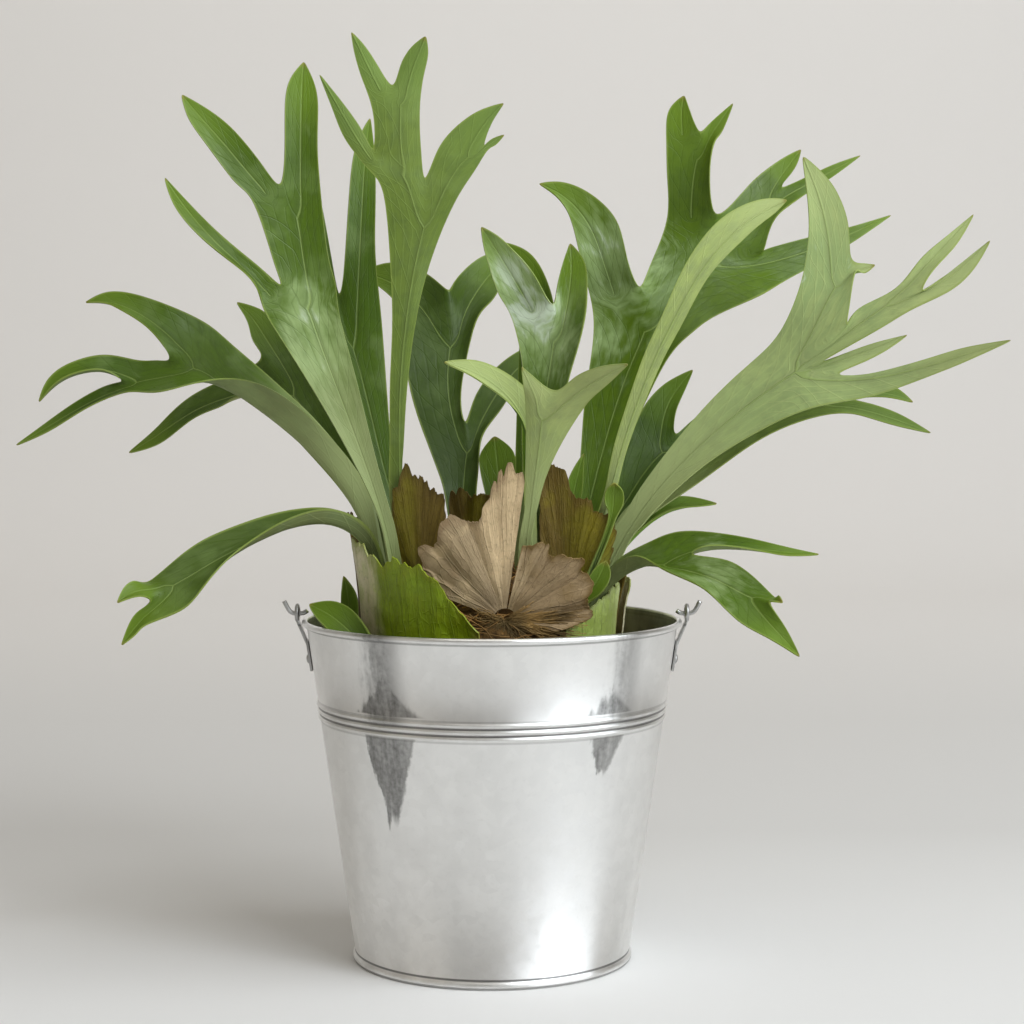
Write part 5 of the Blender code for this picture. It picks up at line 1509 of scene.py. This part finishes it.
def fibre_paths(count):
    """Short root fibres that wander over the root ball, as lists of points."""
    draw = random.Random(5)
    paths = []
    for _ in range(count):
        angle = draw.uniform(0, 2 * math.pi)
        height = draw.uniform(0.03, 0.9)
        turn = draw.uniform(-1, 1) * 0.09
        climb = draw.uniform(-0.6, 0.9) * 0.06
        path = []
        for step in range(FIBRE_STEPS + 1):
            rise = 0.2 + 0.9 * math.sin(math.pi * step / FIBRE_STEPS)
            out = math.sqrt(max(1 - height * height, 0.0))
            place = Vector((math.sin(angle) * out, -math.cos(angle) * out, height))
            across, deep, high = (radius + rise for radius in MOUND_RADII)
            spot = Vector((place.x * across + MOUND_X, place.y * deep, MIX_TOP + place.z * high))
            path.append(spot)
            angle += turn + draw.uniform(-0.02, 0.02)
            height = min(max(height + climb + draw.uniform(-0.02, 0.02), 0.01), 0.97)
        paths.append(path)
    return paths


def hub_paths(count):
    """Fine fibres that spread over the front of the root ball from where the fans stand."""
    draw = random.Random(8)
    (hub_x, hub_z), _, lean, _, bend, *_ = FANS["shield_fan_right"]
    deep = mound_front(hub_x, hub_z)
    paths = []
    for number in range(count):
        turns, lengths = ((-26, 14), (16, 40)) if number % 3 == 0 else ((150, 400), (7, 14))
        turn = math.radians(draw.uniform(*turns))
        length = draw.uniform(*lengths)
        start = draw.uniform(0, 5)
        sway = draw.uniform(-1.5, 1.5)
        proud = draw.uniform(0.9, 2.2)
        path = []
        for step in range(HAIR_STEPS + 1):
            reach = start + length * step / HAIR_STEPS
            x = reach * math.cos(turn) + sway * math.sin(step * 0.9)
            z = reach * math.sin(turn) + sway * math.cos(step * 0.7)
            fan = deep - lean * reach * reach / FAN_LEAN_REACH + x * x / bend
            path.append(Vector((hub_x + x, fan - proud, hub_z + z)))
        paths.append(path)
    return paths


class FERN_OT_filling(bpy.types.Operator):
    """Make the potting mix and the root ball with its fibres"""

    bl_idname = "fern.filling"
    bl_label = "Potting mix and root ball"

    def execute(self, context):
        tones = context.scene.fern_colours
        sizes = context.scene.fern_sizes
        soil = earth_paint("potting_mix_damp", tones.soil, 420.0)
        add_piece("potting_mix_heap", mix_mesh(), [soil], ["potting_mix"])
        bark = earth_paint("bark_crumb", tinted(tones.root, 0.7), 600.0)
        add_piece("mix_crumbs", crumb_mesh(sizes.crumbs), [bark], [])
        mass = earth_paint("root_mass", tinted(tones.root, 0.42), 300.0)
        add_piece("root_ball_mass", ball_mesh(), [mass], ["root_ball"])
        fibre = fibre_paint("root_fibre", tones.root)
        fibres = wire_mesh("root_fibres", fibre_paths(sizes.fibres), FIBRE_RADIUS)
        add_piece("root_fibres", fibres, [fibre], [])
        hair = fibre_paint("hub_fibre", tinted(tones.root, 0.95, 0.84))
        hairs = wire_mesh("hub_fibres", hub_paths(sizes.hairs), HAIR_RADIUS)
        add_piece("hub_fibres", hairs, [hair], [])
        return {"FINISHED"}


class FERN_OT_fronds_left(bpy.types.Operator):
    """Make the fronds on the left"""

    bl_idname = "fern.fronds_left"
    bl_label = "Left fronds"

    def execute(self, context):
        make_fronds(LEFT_FRONDS)
        return {"FINISHED"}


class FERN_OT_fronds_centre(bpy.types.Operator):
    """Make the fronds in the middle"""

    bl_idname = "fern.fronds_centre"
    bl_label = "Centre fronds"

    def execute(self, context):
        make_fronds(CENTRE_FRONDS)
        return {"FINISHED"}


class FERN_OT_fronds_right(bpy.types.Operator):
    """Make the fronds on the right"""

    bl_idname = "fern.fronds_right"
    bl_label = "Right fronds"

    def execute(self, context):
        make_fronds(RIGHT_FRONDS)
        return {"FINISHED"}


class FERN_OT_fronds_young(bpy.types.Operator):
    """Make the young fronds and the small leaves"""

    bl_idname = "fern.fronds_young"
    bl_label = "Young fronds"

    def execute(self, context):
        make_fronds(YOUNG_FRONDS)
        return {"FINISHED"}


class FERN_OT_shields(bpy.types.Operator):
    """Make the shield fronds round the root ball"""

    bl_idname = "fern.shields"
    bl_label = "Shields"

    def execute(self, context):
        paints = shield_paints()
        for name, (*shape, finish) in WRAPS.items():
            make_shield(name, shape, wrap_point, paints[finish])
        for name, (*shape, finish) in FANS.items():
            make_shield(name, shape, fan_point, paints[finish])
        return {"FINISHED"}


def area_light(name, place, aim, size, power, colour):
    """Adds a rectangular light that faces a point."""
    light = bpy.data.lights.new(name, "AREA")
    light.shape = "RECTANGLE"
    light.size = size[0]
    light.size_y = size[1]
    light.energy = power
    light.color = colour
    lamp = bpy.data.objects.new(name, light)
    lamp.location = place
    lamp.rotation_euler = (Vector(aim) - Vector(place)).to_track_quat("-Z", "Y").to_euler()
    bpy.context.scene.collection.objects.link(lamp)


def studio_world():
    """Soft room light, dimmer from the camera's side."""
    world = bpy.data.worlds.new("studio")
    world.use_nodes = True
    tree = world.node_tree
    spot = tree.nodes.new("ShaderNodeTexCoord")
    parts = tree.nodes.new("ShaderNodeSeparateXYZ")
    strength = tree.nodes.new("ShaderNodeMapRange")
    for socket, value in (("From Min", -0.9), ("From Max", 0.1), ("To Min", 0.20), ("To Max", 0.32)):
        strength.inputs[socket].default_value = value
    background = tree.nodes["Background"]
    background.inputs["Color"].default_value = (1.0, 0.93, 0.82, 1.0)
    tree.links.new(spot.outputs["Generated"], parts.inputs["Vector"])
    tree.links.new(parts.outputs["Y"], strength.inputs["Value"])
    tree.links.new(strength.outputs["Result"], background.inputs["Strength"])
    return world


def sweep_mesh():
    """The floor that bends up into a backdrop, in metres."""
    back, bend = SWEEP_BEND
    curve = [(back + bend * math.sin(a), bend - bend * math.cos(a))
             for a in (0.0, 0.2, 0.4, 0.6, 0.8, 1.0, 1.2, 1.4, math.pi / 2)]
    bm = bmesh.new()
    profile = [(SWEEP_FRONT, 0.0), *curve, (back + bend, SWEEP_TOP)]
    verts = [bm.verts.new((-SWEEP_HALF, y, z)) for y, z in profile]
    edges = [bm.edges.new(pair) for pair in zip(verts, verts[1:])]
    grown = bmesh.ops.extrude_edge_only(bm, edges=edges)["geom"]
    far_side = [item for item in grown if isinstance(item, bmesh.types.BMVert)]
    bmesh.ops.translate(bm, verts=far_side, vec=(2 * SWEEP_HALF, 0, 0))
    bmesh.ops.recalc_face_normals(bm, faces=bm.faces)
    mesh = bpy.data.meshes.new("studio_sweep")
    bm.to_mesh(mesh)
    bm.free()
    mesh.shade_smooth()
    return mesh


def paper_paint():
    """The floor and backdrop's matt paper, palest in front and far behind, with painted shade in the darker
    band on the floor behind the pail.
    """
    paint = Paint("studio_paper", {"Roughness": 0.9, "Specular IOR Level": 0.08})
    paint.feed("Base Color", paint.ramp(paint.rise(paint.axis("Y"), -0.2, 2.4), [
        (0.0, (0.76, 0.756, 0.744)), (0.04, (0.74, 0.734, 0.718)), (0.11, (0.66, 0.652, 0.635)),
        (0.35, (0.66, 0.652, 0.635)), (1.0, (0.76, 0.75, 0.735))]))
    return paint.material


class FERN_OT_stage(bpy.types.Operator):
    """Make the floor and backdrop, the lights and the camera"""

    bl_idname = "fern.stage"
    bl_label = "Stage, lights and camera"

    def execute(self, context):
        scene = context.scene
        sweep = bpy.data.objects.new("studio_sweep", sweep_mesh())
        scene.collection.objects.link(sweep)
        sweep.data.materials.append(paper_paint())

        scene.world = studio_world()
        scene.view_settings.view_transform = "Standard"
        for name, light in LIGHTS.items():
            area_light(name, *light)

        camera = bpy.data.cameras.new("camera")
        camera.sensor_width = CAMERA_SENSOR
        camera.lens = CAMERA_LENS
        camera.clip_start = 0.01
        holder = bpy.data.objects.new("camera", camera)
        holder.location = CAMERA_PLACE
        holder.rotation_euler = (math.radians(CAMERA_TILT), 0.0, 0.0)
        scene.collection.objects.link(holder)
        scene.camera = holder
        return {"FINISHED"}


class FERN_PT_panel(bpy.types.Panel):
    """The fern's steps and settings in the sidebar"""

    bl_label = "Staghorn fern"
    bl_idname = "FERN_PT_panel"
    bl_space_type = "VIEW_3D"
    bl_region_type = "UI"
    bl_category = "Fern"

    def draw(self, context):
        for step in STEPS:
            self.layout.operator(step.bl_idname)
        for group in (context.scene.fern_sizes, context.scene.fern_colours):
            for name in group.__annotations__:
                self.layout.prop(group, name)


STEPS = (FERN_OT_pail, FERN_OT_ears, FERN_OT_filling, FERN_OT_fronds_left, FERN_OT_fronds_centre,
         FERN_OT_fronds_right, FERN_OT_fronds_young, FERN_OT_shields, FERN_OT_stage)
CLASSES = (FernSizes, FernColours) + STEPS + (FERN_PT_panel,)


def register():
    for each in CLASSES:
        bpy.utils.register_class(each)
    bpy.types.Scene.fern_sizes = PointerProperty(type=FernSizes)
    bpy.types.Scene.fern_colours = PointerProperty(type=FernColours)


def unregister():
    del bpy.types.Scene.fern_colours
    del bpy.types.Scene.fern_sizes
    for each in reversed(CLASSES):
        bpy.utils.unregister_class(each)


def main():
    register()
    bpy.ops.fern.pail()
    bpy.ops.fern.ears()
    bpy.ops.fern.filling()
    bpy.ops.fern.fronds_left()
    bpy.ops.fern.fronds_centre()
    bpy.ops.fern.fronds_right()
    bpy.ops.fern.fronds_young()
    bpy.ops.fern.shields()
    bpy.ops.fern.stage()


if __name__ == "__main__":
    main()
